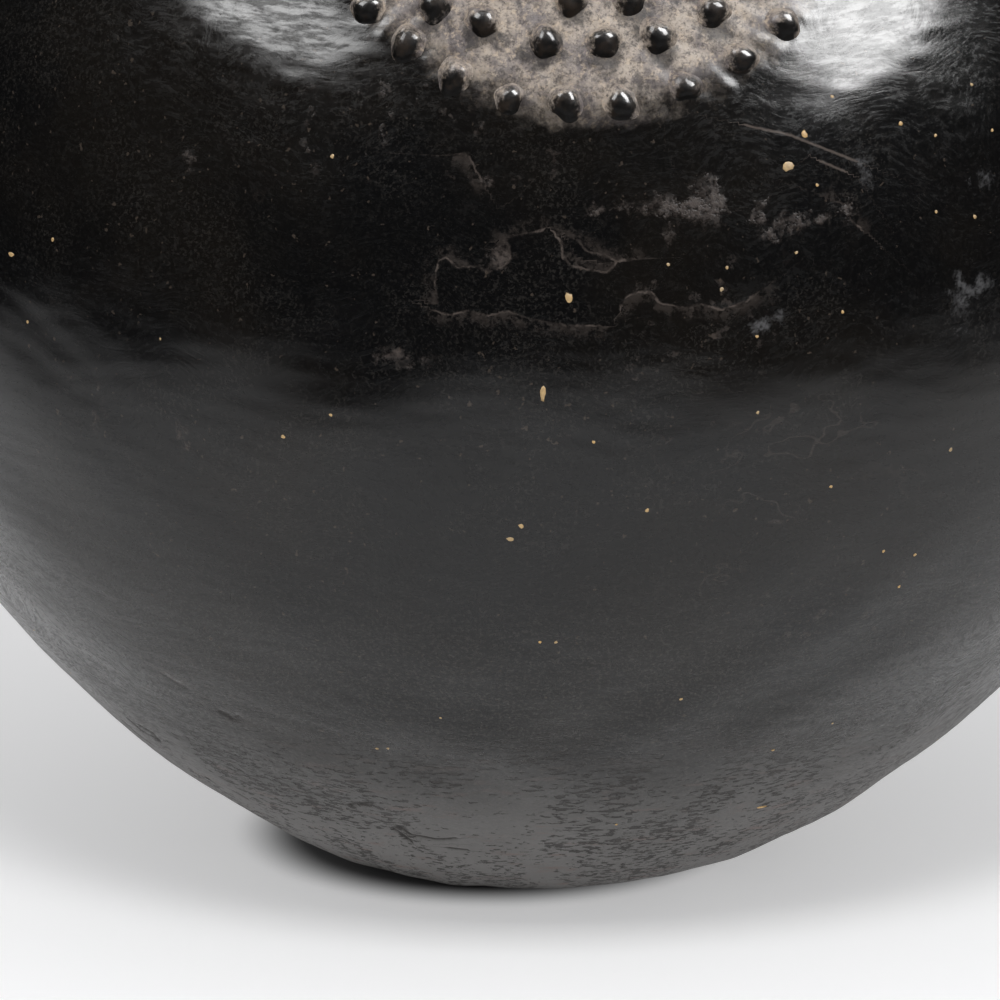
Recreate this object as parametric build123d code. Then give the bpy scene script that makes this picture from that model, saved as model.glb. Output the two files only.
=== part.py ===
"""A coil-built clay beer pot with raised pellets on its shoulder.

The potter flattens a pad of clay for the base and turns its edge up, builds the wall on it one coil
at a time, closes the shoulder in and finishes the mouth with a lip coil. Each coil is luted to the one
below over a sloping joint, which gives the two a wider face to grip than a square one. Rows of small
round pellets are then pressed onto the shoulder in half-moon panels. Each piece here is one piece of
clay as the potter adds it, and the faces at which two pieces meet are the same cut, so they touch
all over.

The pot stands on its base: the origin is the centre of the base, +Z is up, and one panel faces -Y.
All sizes are in millimetres and all angles in degrees.
"""

from build123d import *
from dataclasses import dataclass
from math import acos, atan2, cos, degrees, pi, radians, sin, sqrt, tan
import os

# The outside of the pot, from the floor up
BASE_RADIUS = 44.0
HEEL_CURVE = 38.0
HEEL_ANGLE = 29.0
BELLY_RADIUS = 170.0
BELLY_HEIGHT = 168.0
SHOULDER_CURVE = 150.0
NECK_RADIUS = 103.0

# Thickness of the clay
WALL = 8.0
PAD_THICKNESS = 11.0

# The coils between the base pad and the lip
COIL_COUNT = 8
PAD_TURN_UP = 14.0
JOINT_ANGLE = 35.0

# The lip coil, which turns the shoulder upright and ends in a flat rim
LIP_TURN = 9.0
LIP_STAND = 3.5
LIP_THICKNESS = 9.0
LIP_EDGE = 2.0

# The half-moon panels: one pellet at the middle of the top row, and arcs of pellets round it
PANEL_COUNT = 3
PANEL_BELOW_NECK = 21.0
PANEL_ARCS = 5
ARC_PITCH = 13.8
PELLET_PITCH = 14.45
PELLET_RADIUS = 4.6
PELLET_HEIGHT = 4.4

# The flat facets of a pellet: bands of them round its dome, from below the wall up to a flat tip
PELLET_SIDES = 8
PELLET_BANDS = 3
PELLET_FOOT_ANGLE = -10.0
PELLET_TIP_ANGLE = 75.0


def heading(angle):
    """The unit vector that points this many degrees up from the horizontal."""
    return Vector(cos(radians(angle)), sin(radians(angle)))


@dataclass
class Arc:
    """One stretch of the outside, bending round a centre between two directions of its normal."""

    centre: Vector
    radius: float
    start: float
    end: float

    def length(self):
        return self.radius * radians(self.end - self.start)

    def point(self, angle, depth=0.0):
        """The point that lies depth below the outside, where the normal points at this angle."""
        return self.centre + heading(angle) * (self.radius - depth)

    def edge(self, depth):
        """The whole stretch, carried in to this depth."""
        return CenterArc(self.centre, self.radius - depth, self.start, self.end - self.start)


def outside_arcs():
    """The outside as four arcs, each of which leaves the last one without a corner.

    The heel rises off the floor, the flank and the belly carry it on to the widest point, where it
    stands upright, and the shoulder closes in to the neck. The flank and the belly have tangents of
    one length at all their ends, and that length solves a quadratic.
    """
    heel = Arc(Vector(BASE_RADIUS, HEEL_CURVE), HEEL_CURVE, -90.0, HEEL_ANGLE - 90.0)

    heel_end = heel.point(heel.end)
    widest = Vector(BELLY_RADIUS, BELLY_HEIGHT)
    rise = heading(HEEL_ANGLE)
    upright = heading(90.0)
    step = widest - heel_end
    along = step.dot(rise + upright)
    spread = 1 - rise.dot(upright)
    tangent = (sqrt(along**2 + 2 * spread * step.dot(step)) - along) / (2 * spread)
    between = (widest - upright * tangent) - (heel_end + rise * tangent)
    flank_rise = degrees(atan2(between.Y, between.X))

    flank_curve = tangent / tan(radians(flank_rise - HEEL_ANGLE) / 2)
    flank_centre = heel_end - heading(heel.end) * flank_curve
    flank = Arc(flank_centre, flank_curve, heel.end, flank_rise - 90.0)

    belly_curve = tangent / tan(radians(90.0 - flank_rise) / 2)
    belly_centre = widest - heading(0.0) * belly_curve
    belly = Arc(belly_centre, belly_curve, flank.end, 0.0)

    shoulder_centre = widest - heading(0.0) * SHOULDER_CURVE
    closing = degrees(acos((NECK_RADIUS - shoulder_centre.X) / SHOULDER_CURVE))
    shoulder = Arc(shoulder_centre, SHOULDER_CURVE, 0.0, closing)
    return heel, flank, belly, shoulder


ARCS = outside_arcs()
HEEL, *_, SHOULDER = ARCS
NECK_DISTANCE = sum(arc.length() for arc in ARCS)


def station(distance):
    """The arc and the angle of its normal this far along the outside from the edge of the base."""
    for arc in ARCS[:-1]:
        if distance <= arc.length():
            break
        distance -= arc.length()
    else:
        arc = ARCS[-1]
    return arc, arc.start + degrees(distance / arc.radius)


def filled(depth):
    """Half of the pot below its neck as if it were solid, out to the surface that lies this deep."""
    foot = HEEL.point(HEEL.start, depth)
    neck = SHOULDER.point(SHOULDER.end, depth)
    closing = Polyline(neck, (0, neck.Y), (0, foot.Y), foot)
    return make_face([arc.edge(depth) for arc in ARCS] + closing.edges())


def wall_section():
    """Half of the clay below the neck, cut down the pot's middle.

    A disc still closes the neck. It lies past the last joint, where no piece of the wall reaches.
    """
    neck = SHOULDER.point(SHOULDER.end)
    above_pad = Pos(0, PAD_THICKNESS) * Rectangle(
        BELLY_RADIUS, neck.Y, align=(Align.MIN, Align.MIN)
    )
    return filled(0.0) - (filled(WALL) & above_pad)


def joints():
    """The lines that part the pieces of the wall, from the top of the base pad to the neck.

    Each is two points, one inside the pot and one outside it. They lie far enough from the wall for
    its bulge between two joints to stay within the lines' ends.
    """
    pad_top = HEEL.length() + PAD_TURN_UP
    course = (NECK_DISTANCE - pad_top) / COIL_COUNT
    reach = WALL + course / 4
    lines = []
    for number in range(COIL_COUNT + 1):
        arc, angle = station(pad_top + course * number)
        slope = JOINT_ANGLE if number < COIL_COUNT else 0.0
        middle = arc.point(angle, WALL / 2)
        lean = heading(angle - slope) * reach
        lines.append((middle - lean, middle + lean))
    return lines


def turned(section):
    """The solid that a half section makes when it is swept round the pot's axis."""
    return revolve(Plane.XZ * section, Axis.Z)


def wall_pieces():
    """The base pad and the wall coils, as a list of names and solids from the floor up."""
    section = wall_section()
    lines = joints()
    pad_inside, pad_outside = lines[0]
    under = pad_outside.Y - WALL
    pad_band = Polyline(
        (0, under),
        (pad_outside.X, under),
        pad_outside,
        pad_inside,
        (0, pad_inside.Y),
        close=True,
    )
    pieces = [("base_pad", turned(section & make_face(pad_band)))]
    for number, (lower, upper) in enumerate(zip(lines, lines[1:]), start=1):
        band = Polyline(*lower, *reversed(upper), close=True)
        pieces.append((f"wall_coil_{number}", turned(section & make_face(band))))
    return pieces


def lip_coil():
    """The coil that stands on the last wall coil and carries the flat rim of the mouth."""
    closing = SHOULDER.end
    foot_outside = SHOULDER.point(closing)
    foot_inside = SHOULDER.point(closing, WALL)
    turn_centre = SHOULDER.point(closing, -LIP_TURN)
    outer = turn_centre.X - LIP_TURN
    inner = outer - LIP_THICKNESS
    rim = turn_centre.Y + LIP_STAND
    section = make_face(
        [
            CenterArc(turn_centre, LIP_TURN, 180.0, closing),
            Line((outer, turn_centre.Y), (outer, rim)),
            Line((outer, rim), (inner, rim)),
            Line((inner, rim), (inner, turn_centre.Y)),
            TangentArc((inner, turn_centre.Y), foot_inside, tangent=(0, -1)),
            Line(foot_inside, foot_outside),
        ]
    )
    rim_corners = section.vertices().sort_by(Axis.Y)[-2:]
    return turned(fillet(rim_corners, LIP_EDGE))


def half_moon():
    """Places of one panel's pellets: how far each lies to the side of the panel's centre, and below it."""
    places = [(0.0, 0.0)]
    for ring in range(1, PANEL_ARCS + 1):
        radius = ring * ARC_PITCH
        gaps = round(pi * radius / PELLET_PITCH)
        for number in range(gaps + 1):
            spot = heading(-180.0 * number / gaps) * radius
            places.append((spot.X, -spot.Y))
    return places


def pellet_blank():
    """A ball of clay flattened to a faceted dome. The wall that it is pressed on cuts off its underside."""
    tip = heading(PELLET_TIP_ANGLE)
    band = (PELLET_TIP_ANGLE - PELLET_FOOT_ANGLE) / PELLET_BANDS
    points = []
    for ring in range(PELLET_BANDS + 1):
        profile = heading(PELLET_FOOT_ANGLE + band * ring)
        for side in range(PELLET_SIDES):
            spot = heading(360.0 * side / PELLET_SIDES) * (PELLET_RADIUS * profile.X)
            points.append((spot.X, spot.Y, PELLET_HEIGHT * profile.Y / tip.Y))
    return ConvexPolyhedron(points)


def shoulder_place(sideways, below):
    """The location on the wall of a pellet of the panel that faces -Y, its axis square to the wall."""
    arc, angle = station(NECK_DISTANCE - PANEL_BELOW_NECK - below)
    spot = arc.point(angle)
    turn = degrees(sideways / spot.X) - 90.0
    return Rot(0, 0, turn) * Pos(spot.X, 0, spot.Y) * Rot(0, 90.0 - angle, 0)


def pellet_panels():
    """The panels of pellets, as a list of names and compounds of separate pellets."""
    outside = turned(filled(0.0))
    blank = pellet_blank()
    pellets = [(shoulder_place(*place) * blank) - outside for place in half_moon()]
    panels = []
    for number in range(PANEL_COUNT):
        turn = Rot(0, 0, 360.0 * number / PANEL_COUNT)
        panel = Compound([pellet.moved(turn) for pellet in pellets])
        panels.append((f"pellet_panel_{number + 1}", panel))
    return panels


os.makedirs("parts", exist_ok=True)
for name, shape in wall_pieces() + [("lip_coil", lip_coil())] + pellet_panels():
    export_step(shape, f"parts/{name}.step")
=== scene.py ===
"""The looks of a coil-built clay beer pot: burnished wall, raised pellets, lip, and the studio round it.

Each surface is worked out from two parameters: how far a place lies along the pot's outline, counted
from the edge of the flat base, and how far round the pot it lies, counted from the front (-Y) towards
+X. Lengths are in metres and angles in radians, unless a name says otherwise.
"""

import logging
from dataclasses import dataclass, field
from enum import Enum
from math import ceil
from typing import Optional, Sequence, Union

import bpy
import numpy as np
from mathutils import Matrix, Vector


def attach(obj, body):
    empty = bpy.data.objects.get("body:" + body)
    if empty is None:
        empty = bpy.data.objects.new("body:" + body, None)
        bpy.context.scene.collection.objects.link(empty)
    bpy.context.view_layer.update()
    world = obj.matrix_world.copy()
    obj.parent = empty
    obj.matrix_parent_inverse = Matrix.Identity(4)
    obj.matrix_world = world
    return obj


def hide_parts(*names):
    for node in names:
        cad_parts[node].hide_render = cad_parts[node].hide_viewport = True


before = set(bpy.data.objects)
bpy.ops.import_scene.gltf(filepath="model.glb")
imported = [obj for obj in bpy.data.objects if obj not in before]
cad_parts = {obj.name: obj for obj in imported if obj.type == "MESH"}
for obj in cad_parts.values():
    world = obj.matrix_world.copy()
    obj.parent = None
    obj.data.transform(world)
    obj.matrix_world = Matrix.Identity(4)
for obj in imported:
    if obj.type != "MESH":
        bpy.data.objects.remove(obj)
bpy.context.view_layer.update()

log = logging.getLogger("beer_pot")

MM = 0.001
FULL_TURN = 2 * np.pi
BODY = "root"

# How the wall is divided into coils
COILS = 8
JOINT_ANGLE = np.radians(35)
PAD_TOP = 38 * MM * np.radians(29) + 14 * MM

Array = np.ndarray
Socket = bpy.types.NodeSocket
Value = Union[Socket, float, Sequence[float]]
Colour = tuple[float, float, float, float]


# Small sums


def unit(angle: Union[float, Array]) -> Array:
    """The unit vector (cosine, sine) of an angle."""
    return np.array([np.cos(angle), np.sin(angle)])


def ease(value: Array, low: float, high: float) -> Array:
    """A smooth step, 3t^2 - 2t^3, from 0 where the value is low to 1 where it is high."""
    t = np.clip((value - low) / (high - low), 0.0, 1.0)
    return t * t * (3 - 2 * t)


def wrapped(turn: Array) -> Array:
    """The same turn between minus half a turn and half a turn."""
    return (turn + np.pi) % FULL_TURN - np.pi


def spin(radius: Array, height: Array, turn: Array) -> Array:
    """Points (r sin turn, -r cos turn, z) for radii and heights carried round the axis."""
    radius, height, turn = np.broadcast_arrays(radius, height, turn)
    return np.stack([radius * np.sin(turn), -radius * np.cos(turn), height], axis=-1)


def divided(cuts: Sequence[float], pitch: float) -> tuple[Array, list[int]]:
    """Even steps from each cut to the next.

    Args:
        cuts: the values that must be among the steps.
        pitch: the longest step.

    Returns:
        All the values, and the places of the cuts among them.
    """
    values, places = [cuts[0]], [0]
    for low, high in zip(cuts, cuts[1:]):
        count = max(1, ceil(abs(high - low) / pitch))
        values.extend(np.linspace(low, high, count + 1)[1:])
        places.append(len(values) - 1)
    return np.array(values), places


# The shape that the potter aimed at


@dataclass
class Outline:
    """The outside of the pot up to its neck, as four arcs that meet without a corner.

    The heel rises off the floor, the flank and the belly carry it on to the widest point, and the
    shoulder closes in to the neck. The flank and the belly have tangents of one length at all their
    ends, and that length solves a quadratic in the step from the heel's end to the widest point.
    """

    belly_radius: float = 170 * MM
    belly_height: float = 168 * MM
    base_radius: float = 44 * MM
    heel_curve: float = 38 * MM
    heel_angle: float = np.radians(29)
    shoulder_curve: float = 150 * MM
    neck_radius: float = 103 * MM
    wall: float = 8 * MM
    pad: float = 11 * MM
    centres: Array = field(init=False)
    curves: Array = field(init=False)
    starts: Array = field(init=False)
    breaks: Array = field(init=False)
    closing: float = field(init=False)

    def __post_init__(self) -> None:
        """Works out each arc's centre, radius, first normal angle and first distance."""
        heel_end_angle = self.heel_angle - np.pi / 2
        heel_centre = np.array([self.base_radius, self.heel_curve])
        heel_end = heel_centre + self.heel_curve * unit(heel_end_angle)
        widest = np.array([self.belly_radius, self.belly_height])
        rise, upright, level = unit(self.heel_angle), unit(np.pi / 2), unit(0.0)
        step = widest - heel_end
        along = step @ (rise + upright)
        spread = 1 - rise @ upright
        tangent = (np.sqrt(along**2 + 2 * spread * (step @ step)) - along) / (2 * spread)
        between = (widest - upright * tangent) - (heel_end + rise * tangent)
        flank_rise = np.arctan2(between[1], between[0])
        flank_curve = tangent / np.tan((flank_rise - self.heel_angle) / 2)
        belly_curve = tangent / np.tan((np.pi / 2 - flank_rise) / 2)
        shoulder_centre = widest - level * self.shoulder_curve
        self.closing = np.arccos((self.neck_radius - shoulder_centre[0]) / self.shoulder_curve)
        self.centres = np.array(
            [
                heel_centre,
                heel_end - unit(heel_end_angle) * flank_curve,
                widest - level * belly_curve,
                shoulder_centre,
            ]
        )
        self.curves = np.array([self.heel_curve, flank_curve, belly_curve, self.shoulder_curve])
        self.starts = np.array([-np.pi / 2, heel_end_angle, flank_rise - np.pi / 2, 0.0])
        ends = np.append(self.starts[1:], self.closing)
        self.breaks = np.concatenate([[0.0], np.cumsum(self.curves * (ends - self.starts))])

    @property
    def neck(self) -> float:
        """The distance of the neck along the outline."""
        return float(self.breaks[-1])

    def at(self, distance: Array, depth: float = 0.0) -> tuple[Array, Array, Array]:
        """The places on the outline at these distances: centre + (radius - depth) x unit normal.

        Args:
            distance: how far along the outline, below 0 on the flat base.
            depth: how far inside the outside.

        Returns:
            The radii, the heights and the angles of the outward normals above the horizontal.
        """
        distance = np.asarray(distance, dtype=float)
        arc = np.clip(np.searchsorted(self.breaks, distance, side="right") - 1, 0, 3)
        angle = self.starts[arc] + (distance - self.breaks[arc]) / self.curves[arc]
        reach = self.curves[arc] - depth
        radius = self.centres[arc, 0] + reach * np.cos(angle)
        height = self.centres[arc, 1] + reach * np.sin(angle)
        under = distance < 0
        radius = np.where(under, self.base_radius + distance, radius)
        height = np.where(under, depth, height)
        return radius, height, np.where(under, -np.pi / 2, angle)


@dataclass(frozen=True)
class Lip:
    """The profile of the lip, from the outside of the neck over the flat rim to the inside."""

    outline: Outline
    turn: float = 9 * MM
    stand: float = 3.5 * MM
    thickness: float = 9 * MM
    edge: float = 2 * MM
    steps: int = 14
    edge_steps: int = 7

    def profile(self) -> tuple[Array, Array, Array]:
        """The profile as arcs joined by straight runs.

        The outward turn is an arc round a point past the neck, the stand and the rim are straight and
        meet in rounded corners, and the inward turn is the arc that leaves the stand upright and
        passes through the inside of the neck: its radius is (dx^2 + dy^2) / 2dx.

        Returns:
            The radii, the heights and the angles of the normals that point out of the clay.
        """
        shoulder = self.outline.centres[3]
        closing = self.outline.closing
        centre = shoulder + unit(closing) * (self.outline.shoulder_curve + self.turn)
        outer = centre[0] - self.turn
        inner = outer - self.thickness
        corner = centre[1] + self.stand - self.edge
        foot = shoulder + unit(closing) * (self.outline.shoulder_curve - self.outline.wall)
        step = foot - np.array([inner, centre[1]])
        inward = (step @ step) / (2 * step[0])
        inner_centre = np.array([inner + inward, centre[1]])
        inner_end = np.arctan2(foot[1] - inner_centre[1], foot[0] - inner_centre[0]) + FULL_TURN
        quarter = np.linspace(0, np.pi / 2, self.edge_steps)
        swings = [
            (centre, self.turn, np.linspace(closing + np.pi, np.pi, self.steps), np.pi),
            ((outer - self.edge, corner), self.edge, quarter, 0.0),
            ((inner + self.edge, corner), self.edge, quarter + np.pi / 2, 0.0),
            (inner_centre, inward, np.linspace(np.pi, inner_end, self.steps), 0.0),
        ]
        points = [np.array(middle) + size * unit(angles).T for middle, size, angles, _ in swings]
        normals = [angles + flip for _, _, angles, flip in swings]
        radius, height = np.concatenate(points).T
        return radius, height, np.concatenate(normals)


# The view, and the marks that were placed in its pixels


@dataclass(frozen=True)
class PhotoView:
    """The camera: far away, slightly above the pot and a little to the left of its front.

    A point that lies s to the right of the axis, v up in the picture and t towards the camera shows
    at x = middle + k (s - aim_side) and y = middle - k (v - aim_up), where k is the scale times
    distance / (distance - t).
    """

    elevation: float = np.radians(16.5)
    azimuth: float = np.radians(-5.1)
    distance: float = 5.0
    scale: float = 4.111 / MM
    aim_side: float = -9.4 * MM
    aim_up: float = 80.0 * MM
    side: float = 1000.0
    sensor: float = 36.0

    def place(self, outline: Outline, x: Array, y: Array) -> tuple[Array, Array]:
        """Where on the wall these pixels lie: the ray through each is followed to the outline.

        Args:
            outline: the pot's outline.
            x: pixels from the left.
            y: pixels from the top.

        Returns:
            The distances along the outline and the turns round the pot.
        """
        along = np.linspace(0, outline.neck, 1500)
        radius, height, _ = outline.at(along)
        right = (np.atleast_1d(x)[:, None] - self.side / 2) / self.scale
        up = (self.side / 2 - np.atleast_1d(y)[:, None]) / self.scale
        nearer = np.ones((right.size, along.size))
        for _ in range(4):
            sideways = np.clip(right / nearer + self.aim_side, -radius, radius)
            forward = np.sqrt(radius**2 - sideways**2)
            towards = forward * np.cos(self.elevation) + height * np.sin(self.elevation)
            nearer = self.distance / (self.distance - towards)
        seen = height * np.cos(self.elevation) - forward * np.sin(self.elevation)
        above = seen - up / nearer - self.aim_up
        lowest = np.argmin(above, axis=1)
        above[np.arange(along.size) < lowest[:, None]] = -1.0
        distance = np.array([np.interp(0.0, row, along) for row in above])
        across = np.array([np.interp(d, along, row) for d, row in zip(distance, sideways)])
        turn = np.arcsin(np.clip(across / outline.at(distance)[0], -1, 1)) + self.azimuth
        return distance, turn

    def back(self) -> Vector:
        """The direction from the pot to the camera."""
        level = np.cos(self.elevation)
        return Vector(
            (np.sin(self.azimuth) * level, -np.cos(self.azimuth) * level, np.sin(self.elevation))
        )

    def camera(self) -> None:
        """Makes the camera and gives it to the scene."""
        data = bpy.data.cameras.new("camera")
        data.sensor_width = self.sensor
        data.lens = self.sensor * self.distance * self.scale / self.side
        data.clip_end = 4 * self.distance
        camera = bpy.data.objects.new("camera", data)
        back = self.back()
        turn = back.to_track_quat("Z", "Y")
        aim = turn @ Vector((self.aim_side, self.aim_up, 0.0))
        camera.matrix_world = Matrix.LocRotScale(aim + back * self.distance, turn, None)
        bpy.context.scene.collection.objects.link(camera)
        bpy.context.scene.camera = camera


@dataclass(frozen=True)
class Spot:
    """A mark on the wall by the pixels of its middle, and its width and height in pixels."""

    x: float
    y: float
    width: float
    height: float = 0.0


WORN_SPOTS = (
    Spot(655, 205, 46, 22), Spot(706, 206, 44, 38), Spot(706, 184, 18, 16), Spot(672, 232, 14, 12),
    Spot(596, 213, 11, 10), Spot(762, 217, 15, 32), Spot(790, 226, 34, 20), Spot(826, 217, 24, 12),
    Spot(495, 255, 26, 22), Spot(604, 262, 22, 12), Spot(646, 292, 14, 10), Spot(189, 160, 14, 11),
    Spot(181, 443, 14, 24), Spot(102, 401, 9, 16), Spot(92, 424, 8, 12), Spot(399, 358, 40, 14),
    Spot(481, 183, 10, 9), Spot(848, 212, 14, 24),
)

EDGE_LINES = (
    ((436, 301), (434, 282), (437, 263), (445, 257), (457, 268), (476, 267), (488, 272), (503, 267),
     (510, 260), (509, 247), (503, 239), (514, 235), (533, 233), (544, 230)),
    ((554, 233), (562, 244), (563, 257), (571, 266), (587, 270), (608, 273), (619, 261), (635, 260)),
    ((568, 236), (579, 241), (587, 252), (603, 255), (617, 261)),
    ((600, 327), (571, 327), (552, 324), (530, 320), (508, 312), (488, 317), (466, 312), (448, 316),
     (434, 311)),
    ((766, 289), (747, 303), (724, 311), (702, 306), (683, 309), (661, 304), (651, 293), (638, 293),
     (627, 298), (622, 308)),
    ((482, 182), (474, 168), (467, 154), (450, 154)),
    ((834, 200), (848, 205), (853, 220), (862, 228)),
    ((163, 675), (175, 683), (186, 689)),
)

SCRATCH_LINES = (
    ((748, 125), (790, 134), (825, 148), (858, 161)),
    ((846, 171), (822, 161)),
)

CRACK_LINES = (
    ((121, 724), (134, 736), (150, 747)),
    ((127, 720), (141, 732), (158, 741)),
    ((140, 727), (152, 734), (158, 742)),
    ((219, 714), (226, 717), (231, 721), (237, 719)),
    ((233, 794), (246, 801)),
    ((392, 832), (401, 838), (410, 845)),
    ((398, 830), (410, 839), (424, 841), (436, 843), (455, 842)),
    ((449, 851), (466, 853)),
    ((349, 808), (372, 805)),
    ((205, 781), (214, 787)),
)

SCUFF_SPOTS = (
    Spot(963, 299, 22, 44), Spot(985, 284, 24, 18), Spot(968, 322, 12, 26), Spot(764, 327, 16, 12),
    Spot(783, 321, 13, 13), Spot(985, 178, 22, 9), Spot(870, 178, 10, 16), Spot(862, 160, 24, 9),
)

SPLASHES = (
    Spot(790, 166, 13, 12), Spot(806, 134, 7, 9), Spot(819, 185, 4), Spot(569, 299, 8, 12),
    Spot(669, 265, 4), Spot(728, 268, 4), Spot(723, 290, 5), Spot(798, 253, 4), Spot(903, 123, 5, 6),
    Spot(938, 135, 4), Spot(939, 212, 4), Spot(978, 217, 5), Spot(845, 313, 4), Spot(759, 338, 4),
    Spot(834, 96, 4), Spot(974, 84, 4), Spot(994, 130, 4), Spot(331, 156, 5), Spot(158, 340, 3),
    Spot(330, 416, 4), Spot(24, 323, 4), Spot(8, 255, 11, 5), Spot(648, 513, 5), Spot(521, 528, 6),
    Spot(510, 541, 9, 5), Spot(759, 414, 4), Spot(954, 452, 5), Spot(886, 554, 4), Spot(917, 557, 4),
    Spot(902, 590, 4), Spot(833, 489, 4), Spot(594, 444, 4), Spot(556, 645, 4), Spot(540, 645, 4),
    Spot(543, 394, 7, 17), Spot(376, 752, 4), Spot(387, 752, 4), Spot(440, 721, 3),
    Spot(617, 829, 4), Spot(763, 811, 15, 5), Spot(682, 703, 4), Spot(775, 755, 4),
    Spot(835, 728, 3), Spot(50, 240, 5), Spot(282, 438, 5),
)

PELLETS_SEEN = (
    (367, 7), (407, 42), (454, 75), (509, 98), (566, 102), (621, 102), (685, 85), (742, 57), (784, 22),
    (435, 4), (482, 19), (546, 40), (604, 41), (659, 34), (714, 10),
)


# Where the pellets stand, and what hands, scrapers and wear did to the wall


@dataclass
class HalfMoons:
    """Where the pellets of the three half-moon panels stand, each a little off its true place."""

    outline: Outline
    view: PhotoView
    panels: int = 3
    below_neck: float = 21 * MM
    arcs: int = 5
    arc_pitch: float = 13.8 * MM
    pellet_pitch: float = 14.45 * MM
    stray: float = 0.7 * MM

    def places(self, panel: int) -> tuple[Array, Array]:
        """Distances and turns of one panel's pellets: one in the middle, and arcs of them below it.

        The pellets that the photo shows are moved to where it shows them.
        """
        sideways, below = [0.0], [0.0]
        for ring in range(1, self.arcs + 1):
            radius = ring * self.arc_pitch
            swing = np.linspace(0, np.pi, round(np.pi * radius / self.pellet_pitch) + 1)
            sideways.extend(radius * np.cos(swing))
            below.extend(radius * np.sin(swing))
        rng = np.random.default_rng(30 + panel)
        across = np.array(sideways) + rng.normal(0, self.stray, len(sideways))
        down = np.array(below) + rng.normal(0, self.stray, len(below))
        if panel == 0:
            seen = self.view.place(self.outline, *np.array(PELLETS_SEEN, dtype=float).T)
            seen_across = seen[1] * self.outline.at(seen[0])[0]
            seen_down = self.outline.neck - self.below_neck - seen[0]
            away = np.hypot(across[:, None] - seen_across, down[:, None] - seen_down)
            nearest = np.argmin(away, axis=0)
            across[nearest], down[nearest] = seen_across, seen_down
        distance = self.outline.neck - self.below_neck - down
        turn = across / self.outline.at(distance)[0]
        return distance, turn + panel * FULL_TURN / self.panels

    def outside(self, distance: Array, turn: Array, limit: float = 30 * MM) -> Array:
        """How far each place lies outside the nearest half-moon, below 0 inside it.

        Below the top row it is the larger of (length from the middle - radius of the last arc) and
        the height above the top row, and above the top row it is the length from the row's line.
        """
        radius = self.outline.at(np.minimum(distance, self.outline.neck))[0]
        down = self.outline.neck - self.below_neck - distance
        last = self.arcs * self.arc_pitch
        found = np.full(np.broadcast_shapes(distance.shape, turn.shape), limit)
        for panel in range(self.panels):
            across = np.abs(wrapped(turn - panel * FULL_TURN / self.panels)) * radius
            under = np.maximum(np.hypot(across, down) - last, -down)
            over = np.hypot(np.maximum(across - last, 0), down)
            found = np.minimum(found, np.where(down > 0, under, over))
        return found

    def nearest(self, distance: Array, turn: Array, limit: float = 30 * MM) -> Array:
        """How far each place lies from the middle of the nearest pellet, up to a limit.

        The length is the root of the squared steps along the outline and round the pot.
        """
        distance, turn = np.broadcast_arrays(distance, turn)
        lowest = self.outline.neck - self.below_neck - self.arcs * self.arc_pitch - limit
        close = distance > lowest
        here, there = distance[close], turn[close]
        radius = self.outline.at(np.minimum(here, self.outline.neck))[0]
        found = np.full(here.shape, limit)
        for panel in range(self.panels):
            for spot, swing in zip(*self.places(panel)):
                found = np.minimum(found, np.hypot(here - spot, wrapped(there - swing) * radius))
        best = np.full(distance.shape, limit)
        best[close] = found
        return best


@dataclass(frozen=True)
class Waves:
    """An uneven surface: many cosine waves of random direction that close up round the pot.

    Each wave is cos(m x turn + q x distance + phase) with a whole number m. The sum is scaled so that
    its usual height is 1. The crests of a share of the waves rise to the right, and the others fall.
    """

    seed: int
    count: int
    around: tuple[float, float]
    along: tuple[float, float]
    girth: float
    rising: float = 0.5

    def __call__(self, distance: Array, turn: Array) -> Array:
        """The height of the waves at each place, for a row of distances and a row of turns.

        The cosine of a sum is split into products, so that all the waves are one matrix product.
        """
        rng = np.random.default_rng(self.seed)
        laps = np.round(self.girth / rng.uniform(*self.around, self.count))
        laps *= np.where(rng.uniform(0, 1, self.count) < self.rising, -1, 1)
        slope = FULL_TURN / rng.uniform(*self.along, self.count)
        phase = rng.uniform(0, FULL_TURN, self.count)
        up = distance[:, None] * slope + phase
        over = turn[:, None] * laps
        total = np.cos(up) @ np.cos(over).T - np.sin(up) @ np.sin(over).T
        return total / np.sqrt(self.count / 2)


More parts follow.
